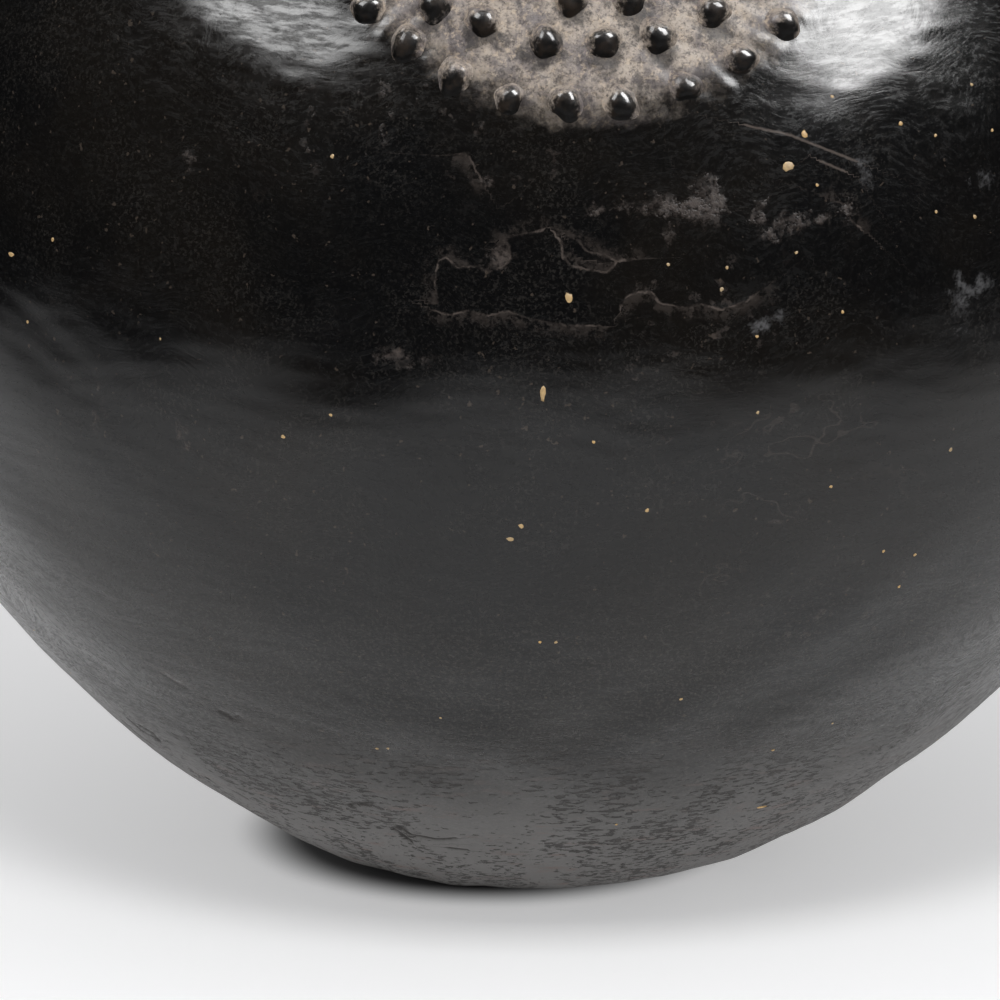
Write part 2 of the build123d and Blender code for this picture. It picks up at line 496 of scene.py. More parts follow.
@dataclass
class HandWork:
    """The unevenness of a hand-built wall."""

    outline: Outline
    pellets: HalfMoons
    view: PhotoView
    sway: float = 0.45 * MM
    dent: float = 0.15 * MM
    ghost: float = 0.10 * MM
    stroke: float = 0.020 * MM
    wrinkle: float = 0.012 * MM
    ground: float = 0.09 * MM
    hollow: float = 0.06 * MM
    hollow_reach: float = 6.5 * MM
    flake: float = 0.12 * MM
    crack: float = 0.35 * MM
    flake_reach: float = 0.7 * MM
    foot: float = 16 * MM

    def __post_init__(self) -> None:
        """Sets up the waves, whose lengths round the pot and along the outline are in metres."""
        girth = FULL_TURN * self.outline.belly_radius
        self.sways = Waves(11, 10, (girth / 5, girth / 2), (0.25, 0.9), girth)
        self.dents = Waves(12, 80, (0.035, 0.12), (0.028, 0.075), girth)
        self.strokes = Waves(13, 140, (0.014, 0.045), (0.005, 0.013), girth, 0.15)
        self.wrinkles = Waves(19, 140, (0.035, 0.12), (0.004, 0.009), girth)
        self.patches = Waves(18, 16, (0.06, 0.2), (0.04, 0.12), girth)
        self.lumps = Waves(14, 90, (0.006, 0.016), (0.005, 0.014), girth)
        self.drift = Waves(15, 8, (0.25, 0.6), (0.08, 0.3), girth)
        self.fingers = Waves(16, 60, (0.05, 0.16), (0.012, 0.03), girth)
        self.course = (self.outline.neck - PAD_TOP) / COILS

    def lift(self, distance: Array, turn: Array) -> Array:
        """How far the outside stands out from the true outline, which is never above 0.

        It is the sum of a slow sway, dents, the ghosts of the coils (a cosine of the distance in
        courses), burnishing strokes, wrinkles and the rough ground of the panels, less a hollow round
        each pellet, a step at the edge of each flake and a groove along each crack.

        Args:
            distance: a row of distances along the outline.
            turn: a row of turns round the pot.

        Returns:
            One row of heights for each distance.
        """
        column = distance[:, None]
        near = self.pellets.nearest(column, turn[None, :])
        moon = self.pellets.outside(column, turn[None, :])
        phase = FULL_TURN * (column - PAD_TOP) / self.course
        lift = self.sway * (self.sways(distance, turn) - 2.2) / 2
        lift += self.dent * (self.dents(distance, turn) - 2.5)
        lift += self.ghost * (np.cos(phase + self.drift(distance, turn)) - 1)
        share = ease(self.patches(distance, turn), -0.8, 1.0)
        lift += self.stroke * self.strokes(distance, turn) * (0.25 + 0.75 * share)
        lift += self.wrinkle * self.wrinkles(distance, turn) * (1.0 - 0.7 * share)
        lift += self.ground * self.lumps(distance, turn) * (1 - ease(moon, 0.0, 6 * MM))
        lift -= self.hollow * np.exp(-((near / self.hollow_reach) ** 2))
        edges = self.from_lines(EDGE_LINES, distance, turn)
        lift -= self.flake * np.exp(-((edges / self.flake_reach) ** 2))
        cracks = self.from_lines(CRACK_LINES, distance, turn)
        lift -= self.crack * np.exp(-((cracks / self.flake_reach) ** 2))
        return np.minimum(lift, 0.0) * ease(column, 0.0, self.foot)

    def sag(self, distance: Array, turn: Array) -> Array:
        """How far the inside stands out from its true surface: finger marks and the coils' ridges."""
        ridge = np.cos(FULL_TURN * (distance[:, None] - PAD_TOP) / self.course)
        reach = ease(distance[:, None], -self.outline.base_radius, 0.0)
        return (0.35 * MM * self.fingers(distance, turn) + 0.4 * MM * ridge) * reach

    def from_lines(
        self, lines: Sequence, distance: Array, turn: Array, limit: float = 20 * MM
    ) -> Array:
        """How far each place lies above the nearest of some broken lines, or below it if less than 0.

        For each run of a line it is the length of the place's step from the nearest point of the run,
        on the wall rolled flat at the run's own radius. Above means on the left of the run's heading.

        Args:
            lines: the lines, by the pixels of their points.
            distance: a row of distances along the outline.
            turn: a row of turns round the pot.
            limit: the greatest length given.

        Returns:
            One row of signed lengths for each distance.
        """
        found = np.full((distance.size, turn.size), limit)
        for line in lines:
            along, across = self.view.place(self.outline, *np.array(line, dtype=float).T)
            for k in range(along.size - 1):
                radius = self.outline.at(along[k])[0]
                rows = np.flatnonzero(np.abs(distance - along[k]) < 2 * limit)
                columns = np.flatnonzero(np.abs(wrapped(turn - across[k])) * radius < 2 * limit)
                up = distance[rows, None] - along[k]
                over = wrapped(turn[columns] - across[k])[None, :] * radius
                rise, run = along[k + 1] - along[k], (across[k + 1] - across[k]) * radius
                share = np.clip((up * rise + over * run) / (rise**2 + run**2), 0, 1)
                away = np.hypot(up - share * rise, over - share * run)
                away = np.copysign(away, up * run - over * rise)
                block = np.ix_(rows, columns)
                nearer = np.abs(away) < np.abs(found[block])
                found[block] = np.where(nearer, away, found[block])
        return found

    def from_spots(
        self, spots: Sequence, distance: Array, turn: Array, limit: float = 20 * MM
    ) -> Array:
        """How far each place lies outside the nearest of some spots, below 0 inside it.

        Each spot is an ellipse, and the length is (the place's radius in the ellipse's own units - 1)
        times the ellipse's smaller half width.
        """
        found = np.full((distance.size, turn.size), limit)
        middle = np.array([(spot.x, spot.y) for spot in spots], dtype=float)
        along, across = self.view.place(self.outline, *middle.T)
        for k, spot in enumerate(spots):
            radius = self.outline.at(along[k])[0]
            half_wide = spot.width / 2 / self.view.scale
            half_high = (spot.height or spot.width) / 2 / self.view.scale
            up = (distance - along[k])[:, None] / half_high
            over = wrapped(turn - across[k])[None, :] * radius / half_wide
            away = (np.hypot(up, over) - 1) * min(half_wide, half_high)
            found = np.minimum(found, away)
        return found


# Meshes from arrays


def add_mesh(
    name: str, points: Array, quads: Array, triangles: Array, normals: Optional[Array] = None
) -> bpy.types.Mesh:
    """Puts points and faces into a new smooth mesh.

    Args:
        name: the mesh's name.
        points: one row of three coordinates for each vertex.
        quads: one row of four vertices for each four-sided face.
        triangles: one row of three vertices for each three-sided face.
        normals: one row for each corner, those of the quads first, or None for Blender's own.

    Returns:
        The mesh.
    """
    mesh = bpy.data.meshes.new(name)
    corners = np.concatenate([quads.ravel(), triangles.ravel()]).astype(np.int32)
    sizes = np.concatenate([np.full(len(quads), 4), np.full(len(triangles), 3)])
    starts = np.concatenate([[0], np.cumsum(sizes)[:-1]]).astype(np.int32)
    mesh.vertices.add(len(points))
    mesh.vertices.foreach_set("co", np.ascontiguousarray(points, dtype=np.float32).ravel())
    mesh.loops.add(len(corners))
    mesh.loops.foreach_set("vertex_index", corners)
    mesh.polygons.add(len(starts))
    mesh.polygons.foreach_set("loop_start", starts)
    mesh.polygons.foreach_set("use_smooth", np.ones(len(starts), dtype=bool))
    mesh.update(calc_edges=True)
    mesh.validate()
    if normals is not None:
        mesh.normals_split_custom_set(normals)
    return mesh


def set_attribute(mesh: bpy.types.Mesh, name: str, values: Array) -> None:
    """Stores one number or one vector for each vertex of a mesh."""
    vector = values.ndim == 2
    attribute = mesh.attributes.new(name, "FLOAT_VECTOR" if vector else "FLOAT", "POINT")
    attribute.data.foreach_set(
        "vector" if vector else "value", np.ascontiguousarray(values, dtype=np.float32).ravel()
    )


def add_piece(
    name: str, mesh: bpy.types.Mesh, finish: bpy.types.Material, node: str = ""
) -> None:
    """Makes an object of a mesh, gives it its finish and lets it ride on the pot.

    Args:
        name: the piece's name.
        mesh: its mesh, in the frame of the pot.
        finish: its material.
        node: the CAD node that it stands for, if any.
    """
    piece = bpy.data.objects.new(name, mesh)
    mesh.materials.append(finish)
    bpy.context.scene.collection.objects.link(piece)
    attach(piece, BODY)
    if node:
        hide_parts(node)
    log.info("%s: %d faces", name, len(mesh.polygons))


# The vessel


@dataclass
class Skin:
    """The whole surface of the wall and the lip on one grid, from which the pieces take their rows.

    The rows run from the middle of the base up the outside, over the rim and down the inside to the
    middle of the floor. The columns go round the pot and are closest where the photo shows it.
    """

    outline: Outline
    lip: Lip
    work: HandWork
    row_pitch: float = 0.72 * MM
    inner_pitch: float = 3 * MM
    disc_pitch: float = 4 * MM
    front_pitch: float = 0.68 * MM
    rear_pitch: float = 2.0 * MM
    front_reach: tuple[float, float] = (np.radians(62), np.radians(80))
    lip_wave: float = 0.10 * MM
    floor_blend: float = 2 * MM
    shade_drop: float = 3.2 * MM
    far: float = 20 * MM

    def __post_init__(self) -> None:
        """Works out the rows, the columns, the points, the normals and what the finish reads."""
        line, work = self.outline, self.work
        course = (line.neck - PAD_TOP) / COILS
        lean = line.wall / 2 * np.tan(JOINT_ANGLE)
        middles = [PAD_TOP + course * coil for coil in range(COILS)]
        outer_cuts = [middle - lean for middle in middles] + [line.neck]
        inner_cuts = [middle + lean for middle in middles] + [line.neck]
        disc, _ = divided([-line.base_radius, 0.0], self.disc_pitch)
        outside, outer_places = divided([0.0] + outer_cuts, self.row_pitch)
        inside, inner_places = divided(
            inner_cuts[::-1] + [0.0, -line.base_radius], self.inner_pitch
        )
        lip_profile = self.lip.profile()
        lip_count = len(lip_profile[0]) - 2
        under = np.concatenate([disc[:-1], outside])
        inside_start = len(under) + lip_count
        self.under = under
        self.turns = self.columns()
        self.outer_rows = [len(disc) - 1 + place for place in outer_places[1:]]
        self.inner_rows = [inside_start + place for place in inner_places[: COILS + 1]][::-1]

        lift = work.lift(under, self.turns)
        sag = -work.sag(inside, self.turns)
        lip_amount = self.lip_amount(*lip_profile[:2], lift[-1], sag[0])
        radius, height, angle = self.stacked(under, inside, lip_profile)
        amount = np.concatenate([lift, lip_amount[1:-1], sag])
        self.points = spin(
            radius[:, None] + amount * np.cos(angle)[:, None],
            height[:, None] + amount * np.sin(angle)[:, None],
            self.turns[None, :],
        )
        self.normals = self.square_to_grid()

        steps = np.hypot(np.diff(radius), np.diff(height))
        run = np.concatenate([[0.0], np.cumsum(steps)]) - line.base_radius
        shares = np.linspace(0, 1, lip_count)
        inner = np.concatenate([np.zeros(len(under)), ease(shares, 0.72, 1), np.ones(len(inside))])
        self.given = {
            "straight": spin(line.belly_radius, run[:, None], self.turns[None, :]),
            "inner": np.repeat(inner[:, None], self.turns.size, axis=1),
            "moon_distance": self.outside_only(
                work.pellets.outside(under[:, None], self.turns[None, :])
            ),
            "shade_distance": self.outside_only(
                work.pellets.nearest(under[:, None] + self.shade_drop, self.turns[None, :])
            ),
            "edge_distance": self.outside_only(work.from_lines(EDGE_LINES, under, self.turns)),
            "scratch_distance": self.outside_only(
                work.from_lines(SCRATCH_LINES, under, self.turns)
            ),
            "crack_distance": self.outside_only(work.from_lines(CRACK_LINES, under, self.turns)),
            "worn_distance": self.outside_only(work.from_spots(WORN_SPOTS, under, self.turns)),
            "scuff_distance": self.outside_only(work.from_spots(SCUFF_SPOTS, under, self.turns)),
        }

    def outside_only(self, values: Array) -> Array:
        """The outside's values, followed by a great distance for the lip and the inside."""
        more = np.full((len(self.points) - len(values), values.shape[1]), self.far)
        return np.concatenate([values, more])

    def columns(self) -> Array:
        """The turns of the columns: evenly spaced steps of the summed density, from the back round."""
        fine = np.linspace(-np.pi, np.pi, 20001)
        behind = ease(np.abs(wrapped(fine - self.work.view.azimuth)), *self.front_reach)
        pitch = self.front_pitch + (self.rear_pitch - self.front_pitch) * behind
        density = self.outline.belly_radius / pitch
        steps = (density[1:] + density[:-1]) / 2 * np.diff(fine)
        total = np.concatenate([[0.0], np.cumsum(steps)])
        count = round(total[-1])
        return np.interp(np.arange(count) * total[-1] / count, total, fine)

    def lip_amount(self, radius: Array, height: Array, start: Array, end: Array) -> Array:
        """How far the lip's surface is moved along its normal, from that of the wall on both sides.

        The outside's lift fades out along the first part of the profile and the inside's comes in
        along the last, with slow waves between them that never stand above the true rim.
        """
        share = np.linspace(0, 1, len(radius))[:, None]
        waves = Waves(17, 24, (0.03, 0.12), (0.02, 0.06), FULL_TURN * self.outline.neck_radius)
        run = np.concatenate([[0.0], np.cumsum(np.hypot(np.diff(radius), np.diff(height)))])
        uneven = np.minimum(self.lip_wave * (waves(run, self.turns) - 2.5), 0.0)
        between = ease(share, 0.0, 0.25) * (1 - ease(share, 0.75, 1.0))
        blend = start[None, :] * (1 - ease(share, 0.0, 0.4)) + end[None, :] * ease(share, 0.6, 1.0)
        return blend + uneven * between

    def stacked(
        self, under: Array, inside: Array, lip_profile: tuple[Array, Array, Array]
    ) -> tuple[Array, Array, Array]:
        """The true profile: the outside, the lip and the inside one after the other.

        The floor inside is the inner outline raised to the top of the pad by a rounded maximum,
        p + ((z - p) + root((z - p)^2 + b^2)) / 2.

        Returns:
            Radii, heights and the angles of the normals that point out of the clay.
        """
        out_radius, out_height, out_angle = self.outline.at(under)
        in_radius, in_height, in_angle = self.outline.at(inside, self.outline.wall)
        lip_radius, lip_height, lip_angle = lip_profile
        above = in_height - self.outline.pad
        in_height = self.outline.pad + (above + np.hypot(above, self.floor_blend)) / 2
        return (
            np.concatenate([out_radius, lip_radius[1:-1], in_radius]),
            np.concatenate([out_height, lip_height[1:-1], in_height]),
            np.concatenate([out_angle, lip_angle[1:-1], in_angle + np.pi]),
        )

    def square_to_grid(self) -> Array:
        """Unit normals: the cross product of the steps to the next column and to the next row."""
        across = np.roll(self.points, -1, axis=1) - np.roll(self.points, 1, axis=1)
        up = np.gradient(self.points, axis=0)
        normal = np.cross(across, up)
        normal[0] = (0.0, 0.0, -1.0)
        normal[-1] = (0.0, 0.0, 1.0)
        return normal / np.linalg.norm(normal, axis=-1, keepdims=True)

    def cut(self, name: str, rows: Sequence[int], closed: bool) -> bpy.types.Mesh:
        """The mesh of one piece: the strips between consecutive rows, and the faces of its joints.

        Args:
            name: the mesh's name.
            rows: the grid's rows in order along the profile.
            closed: True for a ring, whose last row joins its first, and False for the base pad, whose
                ends are poles.

        Returns:
            The mesh, with what the finish reads on its vertices.
        """
        rows = np.array(rows)
        columns = self.turns.size
        points = self.points[rows]
        ids = np.arange(rows.size * columns).reshape(rows.size, columns)
        low = np.arange(rows.size if closed else rows.size - 1)
        high = (low + 1) % rows.size
        faces = np.stack([ids, np.roll(ids, -1, axis=1)], axis=-1)
        quads = np.concatenate([faces[low], faces[high][..., ::-1]], axis=-1)
        smooth = self.normals[rows]
        beside = np.stack([smooth, np.roll(smooth, -1, axis=1)], axis=2)
        normals = np.concatenate([beside[low], beside[high][:, :, ::-1]], axis=2)
        joint = np.abs(rows[high] - rows[low]) > 1
        step = np.roll(points, -1, axis=1)[low[joint]] - points[low[joint]]
        flat = np.cross(step, points[high[joint]] - points[low[joint]])
        flat /= np.linalg.norm(flat, axis=-1, keepdims=True)
        normals[joint] = flat[:, :, None, :]
        if closed:
            keep = ids.ravel()
            triangles = np.empty((0, 3), dtype=int)
            mesh = add_mesh(
                name, points.reshape(-1, 3), quads.reshape(-1, 4), triangles, normals.reshape(-1, 3)
            )
        else:
            mesh, keep = self.with_poles(name, points, quads, normals)
        for attribute, values in self.given.items():
            chosen = values[rows]
            set_attribute(mesh, attribute, chosen.reshape(ids.size, *chosen.shape[2:])[keep])
        return mesh

    def with_poles(
        self, name: str, points: Array, quads: Array, normals: Array
    ) -> tuple[bpy.types.Mesh, Array]:
        """A mesh whose first and last rows are single points, with triangles round them.

        Returns:
            The mesh, and which of the grid's vertices it keeps.
        """
        columns = points.shape[1]
        total = points.shape[0] * columns
        keep = np.concatenate([[0], np.arange(columns, total - columns), [total - 1]])
        number = np.zeros(total, dtype=int)
        number[keep] = np.arange(keep.size)
        number[total - columns :] = keep.size - 1
        first, last = [0, 2, 3], [0, 1, 2]
        triangles = np.concatenate([number[quads[0][:, first]], number[quads[-1][:, last]]])
        corners = [normals[1:-1], normals[0][:, first], normals[-1][:, last]]
        mesh = add_mesh(
            name,
            points.reshape(-1, 3)[keep],
            number[quads[1:-1].reshape(-1, 4)],
            triangles,
            np.concatenate([part.reshape(-1, 3) for part in corners]),
        )
        return mesh, keep

    def place_on(self, distance: Array, turn: Array) -> tuple[Array, Array, Array, Array]:
        """Where these places lie on the uneven outside, and the axes there.

        The point is the mean of the four nearest grid points, weighted by how near they are.

        Returns:
            Points, and unit vectors to the right, up the wall and out of it.
        """
        columns = self.turns.size
        row = np.interp(distance, self.under, np.arange(self.under.size))
        column = np.interp(wrapped(turn), np.append(self.turns, np.pi), np.arange(columns + 1))
        low, left = np.floor(row).astype(int), np.floor(column).astype(int)
        low = np.minimum(low, self.under.size - 2)
        up_share, right_share = (row - low)[:, None], (column - left)[:, None]
        point = np.zeros((distance.size, 3))
        for step_up, share_up in ((0, 1 - up_share), (1, up_share)):
            for step_right, share_right in ((0, 1 - right_share), (1, right_share)):
                corner = self.points[low + step_up, (left + step_right) % columns]
                point += share_up * share_right * corner
        angle = self.outline.at(distance)[2]
        right = spin(0.0, 0.0, turn) + np.stack([np.cos(turn), np.sin(turn), 0 * turn], axis=-1)
        up = spin(-np.sin(angle), np.cos(angle), turn)
        out = spin(np.cos(angle), np.sin(angle), turn)
        return point, right, up, out


@dataclass
class Vessel:
    """The clay of the pot: base pad, eight coils and lip."""

    skin: Skin
    slot: str = "burnished_clay"

    def build(self, finish: bpy.types.Material) -> None:
        """Makes each piece from its rows of the skin."""
        skin = self.skin
        outer, inner = skin.outer_rows, skin.inner_rows
        pad_rows = list(range(outer[0] + 1)) + list(range(inner[0], len(skin.points)))
        mesh = skin.cut("base_pad_clay", pad_rows, closed=False)
        add_piece("base_pad_clay", mesh, finish, "base_pad")
        for coil in range(1, COILS + 1):
            rows = list(range(outer[coil - 1], outer[coil] + 1))
            rows += list(range(inner[coil], inner[coil - 1] + 1))
            name = f"coil_{coil}_clay"
            mesh = skin.cut(name, rows, closed=True)
            add_piece(name, mesh, finish, f"wall_coil_{coil}")
        mesh = skin.cut("lip_clay", range(outer[COILS], inner[COILS] + 1), closed=True)
        add_piece("lip_clay", mesh, finish, "lip_coil")


# Pellets and splashes


def dome_mesh(name: str, rings: Array, feet: Array, tips: Array) -> bpy.types.Mesh:
    """A mesh of many separate domes, each closed by a point below and a point above its rings.

    Args:
        name: the mesh's name.
        rings: points as an array of dome, ring, side and coordinate, from the foot up.
        feet: the point below each dome.
        tips: the point above each dome.

    Returns:
        The mesh, whose vertices are each dome's rings, then its foot, then its tip.
    """
    count, levels, sides, _ = rings.shape
    ids = np.arange(levels * sides).reshape(levels, sides)
    beside = np.roll(ids, -1, axis=1)
    quads = np.stack([ids[:-1], beside[:-1], beside[1:], ids[1:]], axis=-1).reshape(-1, 4)
    foot, tip = levels * sides, levels * sides + 1
    below = np.stack([np.full(sides, foot), beside[0], ids[0]], axis=-1)
    above = np.stack([ids[-1], beside[-1], np.full(sides, tip)], axis=-1)
    triangles = np.concatenate([below, above])
    shift = (np.arange(count) * (levels * sides + 2))[:, None, None]
    points = np.concatenate(
        [rings.reshape(count, -1, 3), feet[:, None, :], tips[:, None, :]], axis=1
    )
    return add_mesh(
        name,
        points.reshape(-1, 3),
        (quads[None] + shift).reshape(-1, 4),
        (triangles[None] + shift).reshape(-1, 3),
    )


def lobed(rng: np.random.Generator, count: int, sides: int, folds: dict[int, float]) -> Array:
    """Outlines that are nearly round: 1 plus a few cosines of random phase.

    Args:
        rng: where the phases come from.
        count: how many outlines.
        sides: how many points each has.
        folds: the depth of the cosine for each number of lobes.

    Returns:
        The radii, as an array of outline, one ring and side.
    """
    swing = np.linspace(0, FULL_TURN, sides, endpoint=False)[None, None, :]
    reach = np.ones((count, 1, sides))
    for fold, depth in folds.items():
        reach += depth * np.cos(fold * swing + rng.uniform(0, FULL_TURN, count)[:, None, None])
    return reach


@dataclass
class PelletPanels:
    """The raised pellets, each a ball of clay pressed onto the wall and smoothed round its foot."""

    skin: Skin
    places: HalfMoons
    radius: float = 3.55 * MM
    height: float = 3.8 * MM
    flare: float = 0.24
    flare_depth: float = 0.5 * MM
    # Where the dark part of each pellet lies: partly soot, partly painted shade on its lower side.
    soot_and_shade_lower: float = 0.42
    soot_and_shade_draw: float = 0.42
    soot_and_shade_size: float = 0.95
    sink: float = 0.30 * MM
    lean: float = 0.35 * MM
    sides: int = 28
    levels: int = 13
    slot: str = "pellet_clay"

    def domes(self, panel: int, rng: np.random.Generator) -> tuple[Array, Array, Array, Array]:
        """The points of one panel's pellets.

        At an angle a above the foot a ring has the height h = H sin(a) and the radius
        R (cos(a)^0.9 + flare x exp(-h / depth)). Each pellet's rings are slightly lobed, and its tip
        leans to one side. The dark part of a pellet, partly soot and partly painted shade on its lower
        side, is a round place a little below its tip that is drawn out downwards, and each vertex gets
        its distance from its edge, in pellet radii.

        Returns:
            Rings, feet, tips and the distances from the edge of the dark part, which is soot and painted
            shade.
        """
        point, right, up, out = self.skin.place_on(*self.places.places(panel))
        count = len(point)
        angle = np.linspace(np.radians(-5), np.radians(84), self.levels)
        size = rng.normal(1.0, 0.04, count)[:, None, None]
        tall = rng.normal(0.95, 0.05, count)[:, None, None].clip(0.85, 1.0)
        high = (self.height * np.sin(angle))[None, :, None] * tall
        flare = self.flare * np.exp(-high / self.flare_depth).clip(0, 1)
        wide = self.radius * size * (np.cos(angle)[None, :, None] ** 0.9 + flare)
        wide = wide * lobed(rng, count, self.sides, {2: 0.08, 3: 0.06, 5: 0.035})
        swing = np.linspace(0, FULL_TURN, self.sides, endpoint=False)[None, None, :]
        shares = np.stack([wide * np.cos(swing), wide * np.sin(swing)]) / self.radius
        shares = np.pad(shares.reshape(2, count, -1), ((0, 0), (0, 0), (0, 2)))
        # The dark part is drawn out downwards: painted shade on the pellet's lower side, over its soot.
        above_soot_and_shade = shares[1] + self.soot_and_shade_lower + rng.normal(0, 0.08, count)[:, None]
        drawn = np.where(above_soot_and_shade > 0, above_soot_and_shade, above_soot_and_shade * self.soot_and_shade_draw)
        soot = np.hypot(shares[0], drawn) - self.soot_and_shade_size
        tilt = rng.normal(0, self.lean, (count, 2))
        bend = (high / self.height) ** 2
        across = wide * np.cos(swing) + tilt[:, 0, None, None] * bend
        along = wide * np.sin(swing) + tilt[:, 1, None, None] * bend
        above = np.broadcast_to(high - self.sink, across.shape)
        rings = point[:, None, None, :] + sum(
            part[..., None] * axis[:, None, None, :]
            for part, axis in zip((across, along, above), (right, up, out))
        )
        tip_high = self.height * tall[:, :, 0] - self.sink
        tips = point + tilt[:, :1] * right + tilt[:, 1:] * up + tip_high * out
        return rings, point - 5 * self.sink * out, tips, soot

    def build(self, finish: bpy.types.Material) -> None:
        """Makes the three panels."""
        for panel in range(self.places.panels):
            rings, feet, tips, soot = self.domes(panel, np.random.default_rng(40 + panel))
            name = f"pellets_{panel + 1}_clay"
            mesh = dome_mesh(name, rings, feet, tips)
            # soot: distance from the edge of the dark part, which is soot and painted shade.
            set_attribute(mesh, "soot", soot.ravel())
            add_piece(name, mesh, finish, f"pellet_panel_{panel + 1}")


@dataclass
class Splashes:
    """Small drops of pale clay and porridge that dried on the wall."""

    skin: Skin
    view: PhotoView
    scattered: int = 260
    size: float = 0.45 * MM
    thickness: float = 0.16 * MM
    sides: int = 9
    front: float = np.radians(62)
    slot: str = "burnished_clay"

    def spots(self, rng: np.random.Generator) -> tuple[Array, Array, Array, Array]:
        """Distances, turns, half widths and half heights: the listed marks, then random ones."""
        marks = np.array([(m.x, m.y, m.width, m.height or m.width) for m in SPLASHES], dtype=float)
        distance, turn = self.view.place(self.skin.outline, marks[:, 0], marks[:, 1])
        wide, high = marks[:, 2:].T / 2 / self.view.scale
        behind = rng.uniform(self.front, FULL_TURN - self.front, self.scattered)
        more = rng.uniform(12 * MM, self.skin.outline.neck - 8 * MM, self.scattered)
        size = rng.lognormal(np.log(self.size), 0.4, self.scattered)
        shape = rng.uniform(0.75, 1.35, self.scattered)
        return (
            np.concatenate([distance, more]),
            np.concatenate([turn, behind + self.view.azimuth]),
            np.concatenate([wide, size * shape]),
            np.concatenate([high, size / shape]),
        )

    def build(self, finish: bpy.types.Material) -> None:
        """Makes all the splashes as one piece: low domes of two lobed rings each."""
        rng = np.random.default_rng(50)
        distance, turn, wide, high = self.spots(rng)
        point, right, up, out = self.skin.place_on(distance, turn)
        count = distance.size
        swing = np.linspace(0, FULL_TURN, self.sides, endpoint=False)[None, None, :]
        reach = lobed(rng, count, self.sides, {2: 0.12, 3: 0.10, 4: 0.06})
        reach = np.array([1.0, 0.62])[None, :, None] * reach
        thick = np.minimum(self.thickness, 0.3 * np.minimum(wide, high))[:, None, None]
        across = reach * wide[:, None, None] * np.cos(swing)
        along = reach * high[:, None, None] * np.sin(swing)
        above = np.broadcast_to(thick * np.array([-0.5, 0.75])[None, :, None], across.shape)
        rings = point[:, None, None, :] + sum(
            part[..., None] * axis[:, None, None, :]
            for part, axis in zip((across, along, above), (right, up, out))
        )
        mesh = dome_mesh(
            "dried_splashes", rings, point - thick[:, 0] * out, point + thick[:, 0] * out
        )
        set_attribute(mesh, "tone", rng.uniform(0, 1, count).repeat(2 * self.sides + 2))
        add_piece("dried_splashes", mesh, finish)


# Finishes


def rgb(red: float, green: float, blue: float) -> Colour:
    """A solid colour in linear light."""
    return (red, green, blue, 1.0)


class Nodes:
    """A short way to write a node tree: each method adds one node and gives its output."""

    def __init__(self, tree: bpy.types.NodeTree) -> None:
        """Takes the tree that the nodes go into."""
        self.tree = tree

    def add(
        self, kind: str, inputs: dict, output: Union[int, str] = 0, **settings: object
    ) -> Socket:
        """Adds one node.

        Args:
            kind: the node's type.
            inputs: sockets or constants by the input's name or number.
            output: which output to give.
            settings: properties of the node.

        Returns:
            The chosen output.
        """
        node = self.tree.nodes.new(kind)
        for key, value in settings.items():
            setattr(node, key, value)
        for key, value in inputs.items():
            self.join(value, node.inputs[key])
        return node.outputs[output]

    def join(self, value: Value, socket: Socket) -> None:
        """Links an output to an input, or sets the input's own value."""
        if isinstance(value, bpy.types.NodeSocket):
            self.tree.links.new(value, socket)
        else:
            socket.default_value = value

    def math(self, operation: str, a: Value, b: Value = 0.0) -> Socket:
        """One sum of two numbers."""
        return self.add("ShaderNodeMath", {0: a, 1: b}, operation=operation)

    def stretch(self, vector: Socket, scale: Sequence[float]) -> Socket:
        """A vector with each of its parts scaled."""
        return self.add("ShaderNodeVectorMath", {0: vector, 1: scale}, operation="MULTIPLY")

    def noise(self, vector: Socket, scale: Value, detail: float = 2.0, rough: float = 0.5) -> Socket:
        """Soft noise from 0 to 1 whose cells are one over the scale wide, in metres."""
        inputs = {"Vector": vector, "Scale": scale, "Detail": detail, "Roughness": rough}
        return self.add("ShaderNodeTexNoise", inputs)

    def step(
        self, value: Value, low: Value, high: Value, first: Value = 0.0, last: Value = 1.0
    ) -> Socket:
        """A smooth step from the first number, where the value is low, to the last, where it is high."""
        inputs = {"Value": value, "From Min": low, "From Max": high, "To Min": first, "To Max": last}
        return self.add("ShaderNodeMapRange", inputs, interpolation_type="SMOOTHSTEP")

    def blend(self, share: Value, first: Value, second: Value) -> Socket:
        """A colour between two others."""
        inputs = {0: share, 6: first, 7: second}
        return self.add("ShaderNodeMix", inputs, output=2, data_type="RGBA")

    def between(self, share: Value, first: Value, second: Value) -> Socket:
        """A number between two others."""
        return self.add("ShaderNodeMix", {0: share, 2: first, 3: second}, data_type="FLOAT")

    def attribute(self, name: str, vector: bool = False) -> Socket:
        """What a mesh stores for its vertices under a name."""
        output = "Vector" if vector else "Fac"
        return self.add("ShaderNodeAttribute", {}, output=output, attribute_name=name)

    def effect(self, kind: "Effect", vector: Socket, output: str = "Mask", **values: Value) -> Socket:
        """Places a shared effect with its own values, each named as its input in lower case."""
        inputs = {name.capitalize(): value for name, value in values.items()}
        inputs["Vector"] = vector
        return self.add("ShaderNodeGroup", inputs, output=output, node_tree=kind.tree())


